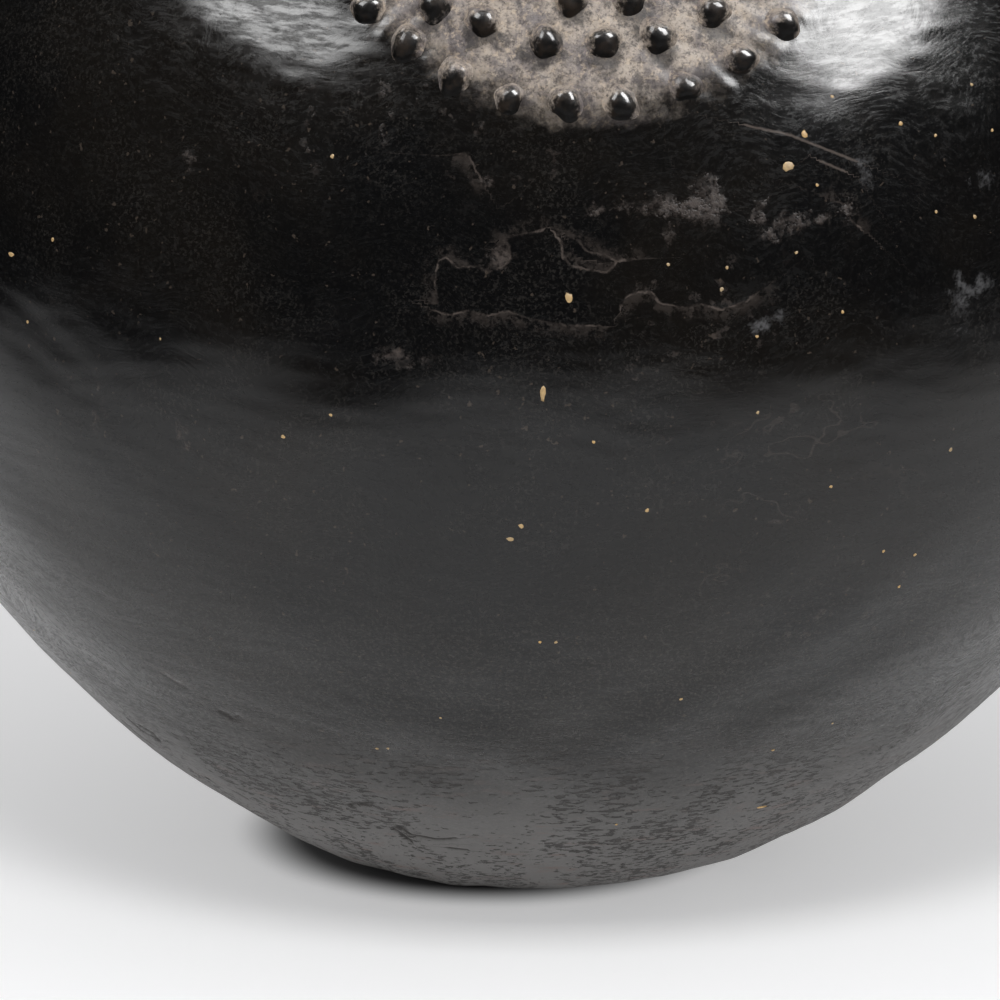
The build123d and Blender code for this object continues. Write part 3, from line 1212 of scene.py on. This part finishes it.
class Effect(Enum):
    """The effects that more than one finish uses, each a node group that is built once."""

    CLOUDS = "soot clouds"
    GRAIN = "clay grain"
    STROKES = "burnishing strokes"
    LINE = "ragged line"
    FLECKS = "flecks"
    SPECKLE = "speckled clay"

    def tree(self) -> bpy.types.NodeTree:
        """The effect's node group, built when it is first asked for."""
        found = bpy.data.node_groups.get(self.value)
        return found or EFFECT_MAKERS[self](self)

    def start(
        self, numbers: dict[str, float], outputs: Sequence[str]
    ) -> tuple[Nodes, bpy.types.NodeInputs, bpy.types.NodeInputs]:
        """Starts the group with its named sockets.

        Args:
            numbers: the usual value of each input beside the vector.
            outputs: the names of the outputs, which are numbers apart from a colour.

        Returns:
            The node writer, the sockets that give the inputs and those that take the outputs.
        """
        tree = bpy.data.node_groups.new(self.value, "ShaderNodeTree")
        tree.interface.new_socket("Vector", in_out="INPUT", socket_type="NodeSocketVector")
        for name, value in numbers.items():
            socket = tree.interface.new_socket(name, in_out="INPUT", socket_type="NodeSocketFloat")
            socket.default_value = value
        for name in outputs:
            kind = "NodeSocketColor" if name == "Color" else "NodeSocketFloat"
            tree.interface.new_socket(name, in_out="OUTPUT", socket_type=kind)
        given, taken = tree.nodes.new("NodeGroupInput"), tree.nodes.new("NodeGroupOutput")
        return Nodes(tree), given.outputs, taken.inputs


def make_clouds(effect: Effect) -> bpy.types.NodeTree:
    """Soft patches: rough noise cut by a smooth step between two levels."""
    n, given, taken = effect.start({"Scale": 10, "Low": 0.4, "High": 0.7}, ["Mask"])
    coarse = n.noise(given["Vector"], given["Scale"], 4.0, 0.6)
    n.join(n.step(coarse, given["Low"], given["High"]), taken["Mask"])
    return n.tree


def make_grain(effect: Effect) -> bpy.types.NodeTree:
    """The clay's own grain: the sum of two sizes of fine noise, as a height."""
    n, given, taken = effect.start({"Scale": 900, "Depth": 0.02 * MM}, ["Height"])
    fine = n.noise(given["Vector"], given["Scale"], 3.0, 0.65)
    coarse = n.noise(given["Vector"], n.math("MULTIPLY", given["Scale"], 0.37), 2.0, 0.5)
    both = n.math("ADD", fine, coarse)
    n.join(n.math("MULTIPLY", both, given["Depth"]), taken["Height"])
    return n.tree


def make_strokes(effect: Effect) -> bpy.types.NodeTree:
    """Marks of the burnishing pebble: noise and creases drawn out round the pot."""
    n, given, taken = effect.start({"Depth": 0.02 * MM}, ["Height", "Mask"])
    place = given["Vector"]
    swirl = {"Vector": place, "Scale": 24.0, "Detail": 2.0}
    shift = n.stretch(n.add("ShaderNodeTexNoise", swirl, output="Color"), [34 * MM] * 3)
    moved = n.add("ShaderNodeVectorMath", {0: place, 1: shift}, operation="ADD")
    broad = n.noise(n.stretch(moved, (1.0, 1.0, 6.0)), 45.0, 3.0, 0.6)
    narrow = n.noise(n.stretch(moved, (1.0, 1.0, 14.0)), 60.0, 3.0, 0.65)
    both = n.math("ADD", broad, n.math("MULTIPLY", narrow, 0.5))
    level = n.math("SUBTRACT", n.noise(n.stretch(moved, (1.0, 1.0, 5.0)), 34.0, 3.0, 0.6), 0.5)
    crease = n.step(n.math("ABSOLUTE", level), 0.045, 0.0)
    patches = n.step(n.noise(place, 14.0), 0.42, 0.62)
    high = n.math("SUBTRACT", both, n.math("MULTIPLY", crease, n.math("MULTIPLY", patches, 0.35)))
    short = n.noise(n.stretch(moved, (1.0, 1.0, 2.6)), 330.0, 4.0, 0.75)
    high = n.math("ADD", high, n.math("MULTIPLY", short, 1.3))
    n.join(n.math("MULTIPLY", high, given["Depth"]), taken["Height"])
    n.join(n.step(short, 0.42, 0.64), taken["Mask"])
    return n.tree


def make_line(effect: Effect) -> bpy.types.NodeTree:
    """A ragged line: 1 where the length of a distance, with noise added, is much less than a width."""
    start = {"Distance": 1.0, "Width": 1 * MM, "Ragged": 0.8 * MM}
    n, given, taken = effect.start(start, ["Mask"])
    noise = n.math("SUBTRACT", n.noise(given["Vector"], 700.0, 3.0, 0.6), 0.5)
    away = n.math("ADD", given["Distance"], n.math("MULTIPLY", noise, given["Ragged"]))
    n.join(n.step(n.math("ABSOLUTE", away), given["Width"], 0.0), taken["Mask"])
    return n.tree


def make_flecks(effect: Effect) -> bpy.types.NodeTree:
    """Small separate flecks: the tops of fine noise, where slower noise lets them through."""
    n, given, taken = effect.start({"Scale": 350, "Level": 0.66, "Patches": 25}, ["Mask"])
    fine = n.noise(given["Vector"], given["Scale"], 2.0, 0.5)
    slow = n.noise(given["Vector"], given["Patches"], 2.0, 0.5)
    allowed = n.math("MULTIPLY", n.math("SUBTRACT", 0.5, slow), 0.16)
    level = n.math("ADD", given["Level"], allowed)
    n.join(n.step(fine, level, n.math("ADD", level, 0.05)), taken["Mask"])
    return n.tree


def make_speckle(effect: Effect) -> bpy.types.NodeTree:
    """Bare clay in patches of buff and mauve, with tan and dark grains in it."""
    n, given, taken = effect.start({}, ["Color"])
    place = given["Vector"]
    patches = n.step(n.noise(place, 110.0, 5.0, 0.7), 0.38, 0.60)
    colour = n.blend(patches, rgb(0.17, 0.148, 0.145), rgb(0.44, 0.375, 0.315))
    tan = n.step(n.noise(place, 620.0, 3.0, 0.7), 0.50, 0.68, 0.0, 0.7)
    colour = n.blend(tan, colour, rgb(0.56, 0.45, 0.34))
    dark = n.step(n.noise(place, 900.0, 3.0, 0.8), 0.54, 0.34, 0.0, 0.72)
    colour = n.blend(dark, colour, rgb(0.065, 0.055, 0.053))
    stains = n.step(n.noise(place, 260.0, 4.0, 0.75), 0.46, 0.36, 0.0, 0.6)
    n.join(n.blend(stains, colour, rgb(0.060, 0.050, 0.048)), taken["Color"])
    return n.tree


EFFECT_MAKERS = {
    Effect.CLOUDS: make_clouds,
    Effect.GRAIN: make_grain,
    Effect.STROKES: make_strokes,
    Effect.LINE: make_line,
    Effect.FLECKS: make_flecks,
    Effect.SPECKLE: make_speckle,
}


@dataclass(frozen=True)
class Finish:
    """What every finish has: a material with one shader whose bump follows the finish's height."""

    name: str = "finish"
    ior: float = 1.5
    coat_roughness: float = 0.03

    def material(self) -> bpy.types.Material:
        """Builds the material."""
        material = bpy.data.materials.new(self.name)
        material.use_nodes = True
        tree = material.node_tree
        tree.nodes.clear()
        n = Nodes(tree)
        shader = tree.nodes.new("ShaderNodeBsdfPrincipled")
        output = tree.nodes.new("ShaderNodeOutputMaterial")
        shader.inputs["IOR"].default_value = self.ior
        shader.inputs["Coat Roughness"].default_value = self.coat_roughness
        colour, rough, height = self.surface(n)
        n.join(self.polish(n), shader.inputs["Coat Weight"])
        n.join(colour, shader.inputs["Base Color"])
        n.join(rough, shader.inputs["Roughness"])
        bump = n.add("ShaderNodeBump", {"Height": height, "Distance": 1.0, "Strength": 1.0})
        n.join(bump, shader.inputs["Normal"])
        n.join(shader.outputs[0], output.inputs["Surface"])
        return material

    def surface(self, n: Nodes) -> tuple[Value, Value, Value]:
        """The colour, the roughness and the height over the surface."""
        raise NotImplementedError

    def polish(self, n: Nodes) -> Value:
        """How much of a polished coat lies on each place: none, unless a finish says otherwise."""
        return 0.0


@dataclass(frozen=True)
class BurnishedClay(Finish):
    """Smoked and greased clay: near black, glossy on the belly and dull and pitted at the foot."""

    name: str = "burnished_clay"
    ior: float = 1.30
    coat_roughness: float = 0.18
    black: Colour = rgb(0.0034, 0.0034, 0.0036)
    brown_black: Colour = rgb(0.0062, 0.0053, 0.0045)
    grit: Colour = rgb(0.033, 0.030, 0.027)
    fleck: Colour = rgb(0.055, 0.043, 0.034)
    bare_clay: Colour = rgb(0.062, 0.049, 0.043)
    flake_edge: Colour = rgb(0.090, 0.073, 0.064)
    scuff: Colour = rgb(0.110, 0.109, 0.112)
    # Colour of the painted shade on the ground below each pellet.
    painted_shade: Colour = rgb(0.012, 0.010, 0.009)
    foot_grey: Colour = rgb(0.150, 0.145, 0.140)
    foot_red: Colour = rgb(0.150, 0.085, 0.068)
    stroke_brown: Colour = rgb(0.012, 0.009, 0.007)
    inside: Colour = rgb(0.020, 0.016, 0.013)

    def surface(self, n: Nodes) -> tuple[Value, Value, Value]:
        """The colour, the roughness and the height over the wall."""
        place = n.add("ShaderNodeTexCoord", {}, output="Object")
        straight = n.attribute("straight", vector=True)
        level = n.add("ShaderNodeSeparateXYZ", {0: place}, output="Z")
        clouds = n.effect(Effect.CLOUDS, place, scale=16.0, low=0.40, high=0.66)
        grit = n.step(n.noise(place, 1200.0, 3.0, 0.75), 0.50, 0.62)
        spread = n.effect(Effect.CLOUDS, place, scale=38.0, low=0.38, high=0.66)
        spread = n.math("MULTIPLY", spread, 0.45)
        spread = n.math("MAXIMUM", spread, n.step(level, 125 * MM, 75 * MM, 0.12, 0.9))
        flecks = n.effect(Effect.FLECKS, place, scale=560.0, level=0.70)
        colour = n.blend(clouds, self.black, self.brown_black)
        colour = n.blend(n.math("MULTIPLY", grit, spread), colour, self.grit)
        colour = n.blend(n.math("MULTIPLY", flecks, 0.7), colour, self.fleck)

        foot, pits, streaks = self.foot_masks(n, level, straight)
        colour = n.blend(foot, colour, self.foot_grey)
        colour = n.blend(streaks, colour, self.foot_red)
        colour = n.blend(n.math("MULTIPLY", pits, 0.85), colour, self.stroke_brown)

        worn = self.spot_mask(n, place, "worn_distance")
        scattered = self.scattered_mask(n, place)
        worn = n.math("MAXIMUM", worn, scattered)
        colour = n.blend(worn, colour, self.bare_clay)
        colour = n.blend(self.edge_mask(n, place, straight), colour, self.flake_edge)
        scuffs = n.math("MULTIPLY", self.spot_mask(n, place, "scuff_distance"), 0.75)
        colour = n.blend(scuffs, colour, self.scuff)
        cracks = n.attribute("crack_distance")
        cracked = n.effect(Effect.LINE, place, distance=cracks, width=1.0 * MM)
        colour = n.blend(cracked, colour, self.stroke_brown)

        ground, painted_shade = self.ground_masks(n, place)
        colour = n.blend(ground, colour, n.effect(Effect.SPECKLE, place, "Color"))
        # Painted shade on the pale ground just below each pellet.
        colour = n.blend(n.math("MULTIPLY", painted_shade, ground), colour, self.painted_shade)
        inner = n.attribute("inner")
        colour = n.blend(inner, colour, self.inside)

        strokes = n.effect(Effect.STROKES, straight)
        dull = n.effect(Effect.CLOUDS, place, scale=24.0, low=0.4, high=0.7)
        low = n.step(level, 150 * MM, 90 * MM, 0.0, 0.12)
        rough = n.math("ADD", n.between(strokes, 0.10, 0.30), n.math("MULTIPLY", dull, 0.07))
        rough = n.math("ADD", rough, low)
        for mask, value in ((foot, 0.55), (worn, 0.5), (ground, 0.50), (inner, 0.72)):
            rough = n.between(mask, rough, value)

        lower = n.step(level, 110 * MM, 50 * MM, 0.06, 0.7)
        bare = n.math("MAXIMUM", n.math("MAXIMUM", ground, lower), worn)
        height = self.height(n, place, straight, bare)
        return colour, rough, n.math("SUBTRACT", height, n.math("MULTIPLY", pits, 0.25 * MM))

    def spot_mask(self, n: Nodes, place: Socket, distance: str) -> Socket:
        """The listed spots, with granular edges and grains missing from them."""
        ragged = n.math("SUBTRACT", n.noise(place, 240.0, 5.0, 0.75), 0.5)
        away = n.math("ADD", n.attribute(distance), n.math("MULTIPLY", ragged, 13 * MM))
        grains = n.step(n.noise(place, 820.0, 3.0, 0.75), 0.36, 0.56, 0.15, 1.0)
        thin = n.step(n.noise(place, 170.0, 4.0, 0.7), 0.38, 0.58, 0.25, 1.0)
        return n.math("MULTIPLY", n.step(away, 0.8 * MM, -2.0 * MM), n.math("MULTIPLY", grains, thin))

    def scattered_mask(self, n: Nodes, place: Socket) -> Socket:
        """Smaller worn bits in a few broad patches."""
        where = n.effect(Effect.CLOUDS, place, scale=9.0, low=0.56, high=0.66)
        bits = n.effect(Effect.FLECKS, place, scale=230.0, level=0.62)
        grains = n.step(n.noise(place, 820.0, 3.0, 0.75), 0.42, 0.60, 0.0, 0.4)
        return n.math("MULTIPLY", n.math("MULTIPLY", where, bits), grains)

    def edge_mask(self, n: Nodes, place: Socket, straight: Socket) -> Socket:
        """Edges of flakes and dried tide lines: those listed, and level lines of slow noise."""
        edges, scratches = n.attribute("edge_distance"), n.attribute("scratch_distance")
        crest = n.effect(Effect.LINE, place, distance=edges, width=0.45 * MM, ragged=1.4 * MM)
        crest = n.math("MULTIPLY", crest, n.step(n.noise(place, 90.0, 4.0), 0.40, 0.60, 0.15, 0.95))
        crest = n.math("MULTIPLY", crest, n.step(n.noise(place, 520.0, 3.0, 0.7), 0.38, 0.54, 0.2, 1.0))
        inner_side = n.step(edges, 4 * MM, 0.5 * MM)
        inner_side = n.math("MULTIPLY", inner_side, n.step(edges, -0.7 * MM, 0.1 * MM))
        halo = n.step(n.noise(place, 300.0, 4.0, 0.7), 0.40, 0.62, 0.0, 0.26)
        halo = n.math("MULTIPLY", halo, inner_side)
        scratched = n.effect(
            Effect.LINE, place, distance=scratches, width=0.5 * MM, ragged=0.5 * MM
        )
        slow = n.noise(n.stretch(straight, (1.0, 1.0, 1.8)), 30.0, 3.0, 0.55)
        contour = n.math("ABSOLUTE", n.math("SUBTRACT", slow, 0.5))
        where = n.effect(Effect.CLOUDS, place, scale=7.0, low=0.58, high=0.66)
        tide = n.math("MULTIPLY", n.step(contour, 0.008, 0.001, 0.0, 0.25), where)
        placed = n.math("MAXIMUM", n.math("MAXIMUM", crest, halo), scratched)
        return n.math("MAXIMUM", placed, tide)

    def foot_masks(self, n: Nodes, level: Socket, straight: Socket) -> tuple[Socket, Socket, Socket]:
        """The dull foot of the pot, its dark pits and its reddish streaks."""
        uneven = n.math("MULTIPLY", n.noise(straight, 16.0, 3.0), 30 * MM)
        around = n.math("ADD", level, uneven)
        foot = n.step(around, 84 * MM, 24 * MM, 0.0, 0.95)
        marks = n.noise(n.stretch(straight, (1.0, 1.0, 4.0)), 210.0, 3.0, 0.6)
        clusters = n.step(n.noise(straight, 34.0, 2.0), 0.34, 0.60, 0.64, 0.51)
        pits = n.step(n.math("SUBTRACT", marks, clusters), 0.0, 0.05)
        pits = n.math("MULTIPLY", pits, n.step(around, 90 * MM, 60 * MM))
        bands = n.noise(n.stretch(straight, (1.0, 1.0, 6.0)), 40.0, 5.0, 0.7)
        return foot, pits, n.math("MULTIPLY", n.step(bands, 0.54, 0.72, 0.0, 0.6), foot)

    def ground_masks(self, n: Nodes, place: Socket) -> tuple[Socket, Socket]:
        """The pale ground between the pellets, and a painted shade on it below each pellet."""
        ragged = n.math("SUBTRACT", n.noise(place, 150.0, 5.0, 0.7), 0.5)
        away = n.math("ADD", n.attribute("moon_distance"), n.math("MULTIPLY", ragged, 20 * MM))
        ground = n.step(away, 4.4 * MM, -9.0 * MM)
        under = n.math("ADD", n.attribute("shade_distance"), n.math("MULTIPLY", ragged, 16 * MM))
        return ground, n.step(under, 6.0 * MM, 2.5 * MM, 0.0, 0.75)

    def polish(self, n: Nodes) -> Value:
        """Streaks that the pebble rubbed to a shine, rougher on the left, and none on bare clay."""
        place = n.add("ShaderNodeTexCoord", {}, output="Object")
        straight = n.attribute("straight", vector=True)
        sideways = n.add("ShaderNodeSeparateXYZ", {0: place}, output="X")
        level = n.add("ShaderNodeSeparateXYZ", {0: place}, output="Z")
        streaks = n.noise(n.stretch(straight, (1.0, 1.0, 5.0)), 110.0, 4.0, 0.7)
        strong = n.step(sideways, 40 * MM, -30 * MM, 0.35, 1.0)
        strong = n.math("MULTIPLY", strong, n.step(level, 185 * MM, 215 * MM))
        streaks = n.step(streaks, 0.40, 0.62)
        shine = n.between(streaks, n.between(strong, 0.36, 0.0), n.between(strong, 0.36, 0.85))
        ground, _ = self.ground_masks(n, place)
        bare = n.math("MAXIMUM", n.attribute("inner"), ground)
        bare = n.math("MAXIMUM", bare, n.step(level, 95 * MM, 35 * MM))
        return n.between(bare, shine, 0.0)

    def height(self, n: Nodes, place: Socket, straight: Socket, bare: Socket) -> Socket:
        """Strokes and grain everywhere, and deeper grain where the wall is not burnished."""
        strokes = n.effect(Effect.STROKES, straight, "Height", depth=0.030 * MM)
        grain = n.effect(Effect.GRAIN, place, "Height", scale=900.0, depth=0.004 * MM)
        coarse = n.effect(Effect.GRAIN, place, "Height", scale=420.0, depth=0.10 * MM)
        return n.math("ADD", n.math("ADD", strokes, grain), n.math("MULTIPLY", coarse, bare))


@dataclass(frozen=True)
class PelletClay(Finish):
    """The pellets: black and polished on their tips, with pale clay left round their feet; part of the
    black, on their lower sides, is painted shade.
    """

    name: str = "pellet_clay"
    ior: float = 1.25
    coat_roughness: float = 0.16
    black: Colour = rgb(0.0042, 0.0038, 0.0036)
    brown: Colour = rgb(0.018, 0.012, 0.008)

    def surface(self, n: Nodes) -> tuple[Value, Value, Value]:
        """The colour, the roughness and the height over the pellets."""
        place = n.add("ShaderNodeTexCoord", {}, output="Object")
        clouds = n.effect(Effect.CLOUDS, place, scale=240.0, low=0.46, high=0.66)
        colour = n.blend(clouds, self.black, self.brown)
        dusty = self.dusty(n, place)
        colour = n.blend(dusty, colour, n.effect(Effect.SPECKLE, place, "Color"))
        grain = n.effect(Effect.GRAIN, place, "Height", scale=420.0, depth=0.22 * MM)
        return colour, n.between(clouds, 0.45, 0.65), grain

    def dusty(self, n: Nodes, place: Socket) -> Socket:
        """Where pale clay covers a pellet: outside the dark part, which is soot and painted shade on the
        lower side, with a ragged edge.
        """
        ragged = n.math("SUBTRACT", n.noise(place, 210.0, 5.0, 0.75), 0.5)
        edge = n.math("ADD", n.attribute("soot"), n.math("MULTIPLY", ragged, 3.0))
        return n.step(edge, -0.35, 0.35)

    def polish(self, n: Nodes) -> Value:
        """Polished on top, where hands and lids rub, and dull below and where pale clay covers it."""
        place = n.add("ShaderNodeTexCoord", {}, output="Object")
        facing = n.add("ShaderNodeNewGeometry", {}, output="Normal")
        upward = n.add("ShaderNodeSeparateXYZ", {0: facing}, output="Z")
        rubbed = n.step(n.noise(place, 200.0, 3.0, 0.7), 0.34, 0.56, 0.35, 1.0)
        bare = n.between(self.dusty(n, place), 1.0, 0.3)
        return n.math("MULTIPLY", n.step(upward, 0.10, 0.55), n.math("MULTIPLY", rubbed, bare))


@dataclass(frozen=True)
class DriedSplash(Finish):
    """Pale dried drops, from yellow tan to grey brown."""

    name: str = "dried_splash"
    tan: Colour = rgb(0.60, 0.37, 0.13)
    grey: Colour = rgb(0.42, 0.31, 0.17)
    shade: Colour = rgb(0.12, 0.08, 0.05)

    def surface(self, n: Nodes) -> tuple[Value, Value, Value]:
        """The colour, the roughness and the height over the drops."""
        place = n.add("ShaderNodeTexCoord", {}, output="Object")
        colour = n.blend(n.attribute("tone"), self.tan, self.grey)
        patches = n.effect(Effect.CLOUDS, place, scale=900.0, low=0.4, high=0.7)
        colour = n.blend(n.math("MULTIPLY", patches, 0.35), colour, self.shade)
        grain = n.effect(Effect.GRAIN, place, "Height", scale=1500.0, depth=0.03 * MM)
        return colour, n.between(patches, 0.5, 0.7), grain


# The studio


@dataclass(frozen=True)
class Softbox:
    """A soft rectangular light, by its direction from the pot in degrees.

    It has one radiance for what glossy surfaces mirror and another for what dull surfaces receive.
    """

    name: str
    azimuth: float
    elevation: float
    width: float
    height: float
    mirrored: float
    received: float
    distance: float = 1.6
    aim_height: float = 0.12

    def build(self) -> None:
        """Makes the light in two parts, one for glossy surfaces alone and one for dull ones."""
        self.light("mirrored", self.mirrored).visible_diffuse = False
        self.light("received", self.received).visible_glossy = False

    def light(self, part: str, radiance: float) -> bpy.types.Object:
        """Makes one part, whose power is radiance x pi x area."""
        azimuth, elevation = np.radians([self.azimuth, self.elevation])
        level = np.cos(elevation)
        away = Vector((np.sin(azimuth) * level, -np.cos(azimuth) * level, np.sin(elevation)))
        name = f"{self.name}_{part}"
        data = bpy.data.lights.new(name, "AREA")
        data.shape = "RECTANGLE"
        data.size, data.size_y = self.width, self.height
        data.energy = radiance * np.pi * self.width * self.height
        light = bpy.data.objects.new(name, data)
        spot = Vector((0, 0, self.aim_height)) + away * self.distance
        light.matrix_world = Matrix.LocRotScale(spot, away.to_track_quat("Z", "Y"), None)
        light.visible_camera = False
        bpy.context.scene.collection.objects.link(light)
        return light


@dataclass(frozen=True)
class Studio:
    """A pale round table, soft lights and a pale surrounding that only the camera sees."""

    table_radius: tuple[float, float] = (0.32, 0.74)
    table_colour: Colour = rgb(0.75, 0.75, 0.755)
    table_mark: Colour = rgb(0.5, 0.5, 0.5)
    unlit: Colour = rgb(0.0, 0.0, 0.0)
    shadow_middle: tuple[float, float, float] = (0.012, 0.0, 0.0)
    shadow_reach: tuple[float, float] = (45 * MM, 64 * MM)
    shadow_depth: float = 0.7
    table_glow: float = 0.52
    table_sides: int = 96
    table_rings: int = 12
    surrounding: Colour = rgb(0.61, 0.61, 0.615)
    ambient: Colour = rgb(0.50, 0.50, 0.505)
    softboxes: tuple = (
        Softbox("key_light", 58.5, 49.0, 0.74, 1.16, 24.0, 2.4),
        Softbox("side_light", -59.0, 53.5, 0.75, 1.0, 9.8, 1.6),
        Softbox("front_light", -5.0, 50.0, 0.5, 0.4, 0.0, 18.0),
        Softbox("back_right_light", 140.0, 48.0, 0.9, 0.8, 5.0, 0.6),
        Softbox("back_left_light", -145.0, 48.0, 0.9, 0.8, 5.0, 0.6),
        Softbox("top_light", 0.0, 88.0, 0.5, 0.5, 2.0, 1.0),
    )

    def build(self) -> None:
        """Makes the table, the lights and the world."""
        self.table()
        for softbox in self.softboxes:
            softbox.build()
        self.world()
        bpy.context.scene.view_settings.view_transform = "Standard"

    def table(self) -> None:
        """A flat disc of rings whose outer part fades into the surrounding."""
        rings = np.linspace(0.05, self.table_radius[1], self.table_rings)
        turn = np.linspace(0, FULL_TURN, self.table_sides, endpoint=False)
        grid = spin(rings[:, None], -0.05 * MM, turn[None, :])
        ids = np.arange(rings.size * turn.size).reshape(rings.size, turn.size)
        beside = np.roll(ids, -1, axis=1)
        quads = np.stack([ids[:-1], ids[1:], beside[1:], beside[:-1]], axis=-1).reshape(-1, 4)
        triangles = np.stack([np.full(turn.size, ids.size), ids[0], beside[0]], axis=-1)
        points = np.concatenate([grid.reshape(-1, 3), [[0.0, 0.0, -0.05 * MM]]])
        mesh = add_mesh("table_top", points, quads, triangles)
        mesh.materials.append(self.table_material())
        table = bpy.data.objects.new("table_top", mesh)
        bpy.context.scene.collection.objects.link(table)

    def table_material(self) -> bpy.types.Material:
        """White painted board with faint marks, clear outside the table's radius. It glows evenly, and a
        painted shadow round the pot's foot, a little to the left, darkens its colour and takes away its
        glow.
        """
        material = bpy.data.materials.new("white_board")
        material.use_nodes = True
        tree = material.node_tree
        tree.nodes.clear()
        n = Nodes(tree)
        place = n.add("ShaderNodeTexCoord", {}, output="Object")
        away = n.add("ShaderNodeVectorMath", {0: place}, output="Value", operation="LENGTH")
        marks = n.effect(Effect.FLECKS, place, scale=260.0, level=0.74)
        colour = n.blend(n.math("MULTIPLY", marks, 0.10), self.table_colour, self.table_mark)
        # Painted shadow round the pot's foot: it darkens the board's colour and its glow.
        moved = n.add("ShaderNodeVectorMath", {0: place, 1: self.shadow_middle}, operation="ADD")
        near = n.add("ShaderNodeVectorMath", {0: moved}, output="Value", operation="LENGTH")
        lit = n.step(near, *self.shadow_reach)
        colour = n.blend(n.between(lit, self.shadow_depth, 0.0), colour, self.unlit)
        shader = tree.nodes.new("ShaderNodeBsdfPrincipled")
        n.join(colour, shader.inputs["Base Color"])
        shader.inputs["Roughness"].default_value = 0.8
        shader.inputs["Specular IOR Level"].default_value = 0.0
        n.join(n.blend(lit, self.unlit, self.table_colour), shader.inputs["Emission Color"])
        shader.inputs["Emission Strength"].default_value = self.table_glow
        clear = tree.nodes.new("ShaderNodeBsdfTransparent")
        fade = n.step(away, *self.table_radius)
        mixed = n.add("ShaderNodeMixShader", {0: fade, 1: shader.outputs[0], 2: clear.outputs[0]})
        output = tree.nodes.new("ShaderNodeOutputMaterial")
        n.join(mixed, output.inputs["Surface"])
        return material

    def world(self) -> None:
        """A pale surrounding that lights dull surfaces and that glossy ones do not mirror."""
        world = bpy.data.worlds.new("studio")
        world.use_nodes = True
        tree = world.node_tree
        tree.nodes.clear()
        n = Nodes(tree)
        seen = n.add("ShaderNodeLightPath", {}, output="Is Camera Ray")
        light = n.add("ShaderNodeBackground", {"Color": self.ambient})
        pale = n.add("ShaderNodeBackground", {"Color": self.surrounding})
        mixed = n.add("ShaderNodeMixShader", {0: seen, 1: light, 2: pale})
        output = tree.nodes.new("ShaderNodeOutputWorld")
        n.join(mixed, output.inputs["Surface"])
        world.cycles_visibility.glossy = False
        bpy.context.scene.world = world


def main() -> None:
    """Builds the pot and the studio in order."""
    logging.basicConfig(level=logging.INFO, format="%(message)s")
    view = PhotoView()
    view.camera()
    outline = Outline()
    moons = HalfMoons(outline, view)
    skin = Skin(outline, Lip(outline), HandWork(outline, moons, view))
    Vessel(skin).build(BurnishedClay().material())
    PelletPanels(skin, moons).build(PelletClay().material())
    Splashes(skin, view).build(DriedSplash().material())
    Studio().build()


if __name__ == "__main__":
    main()
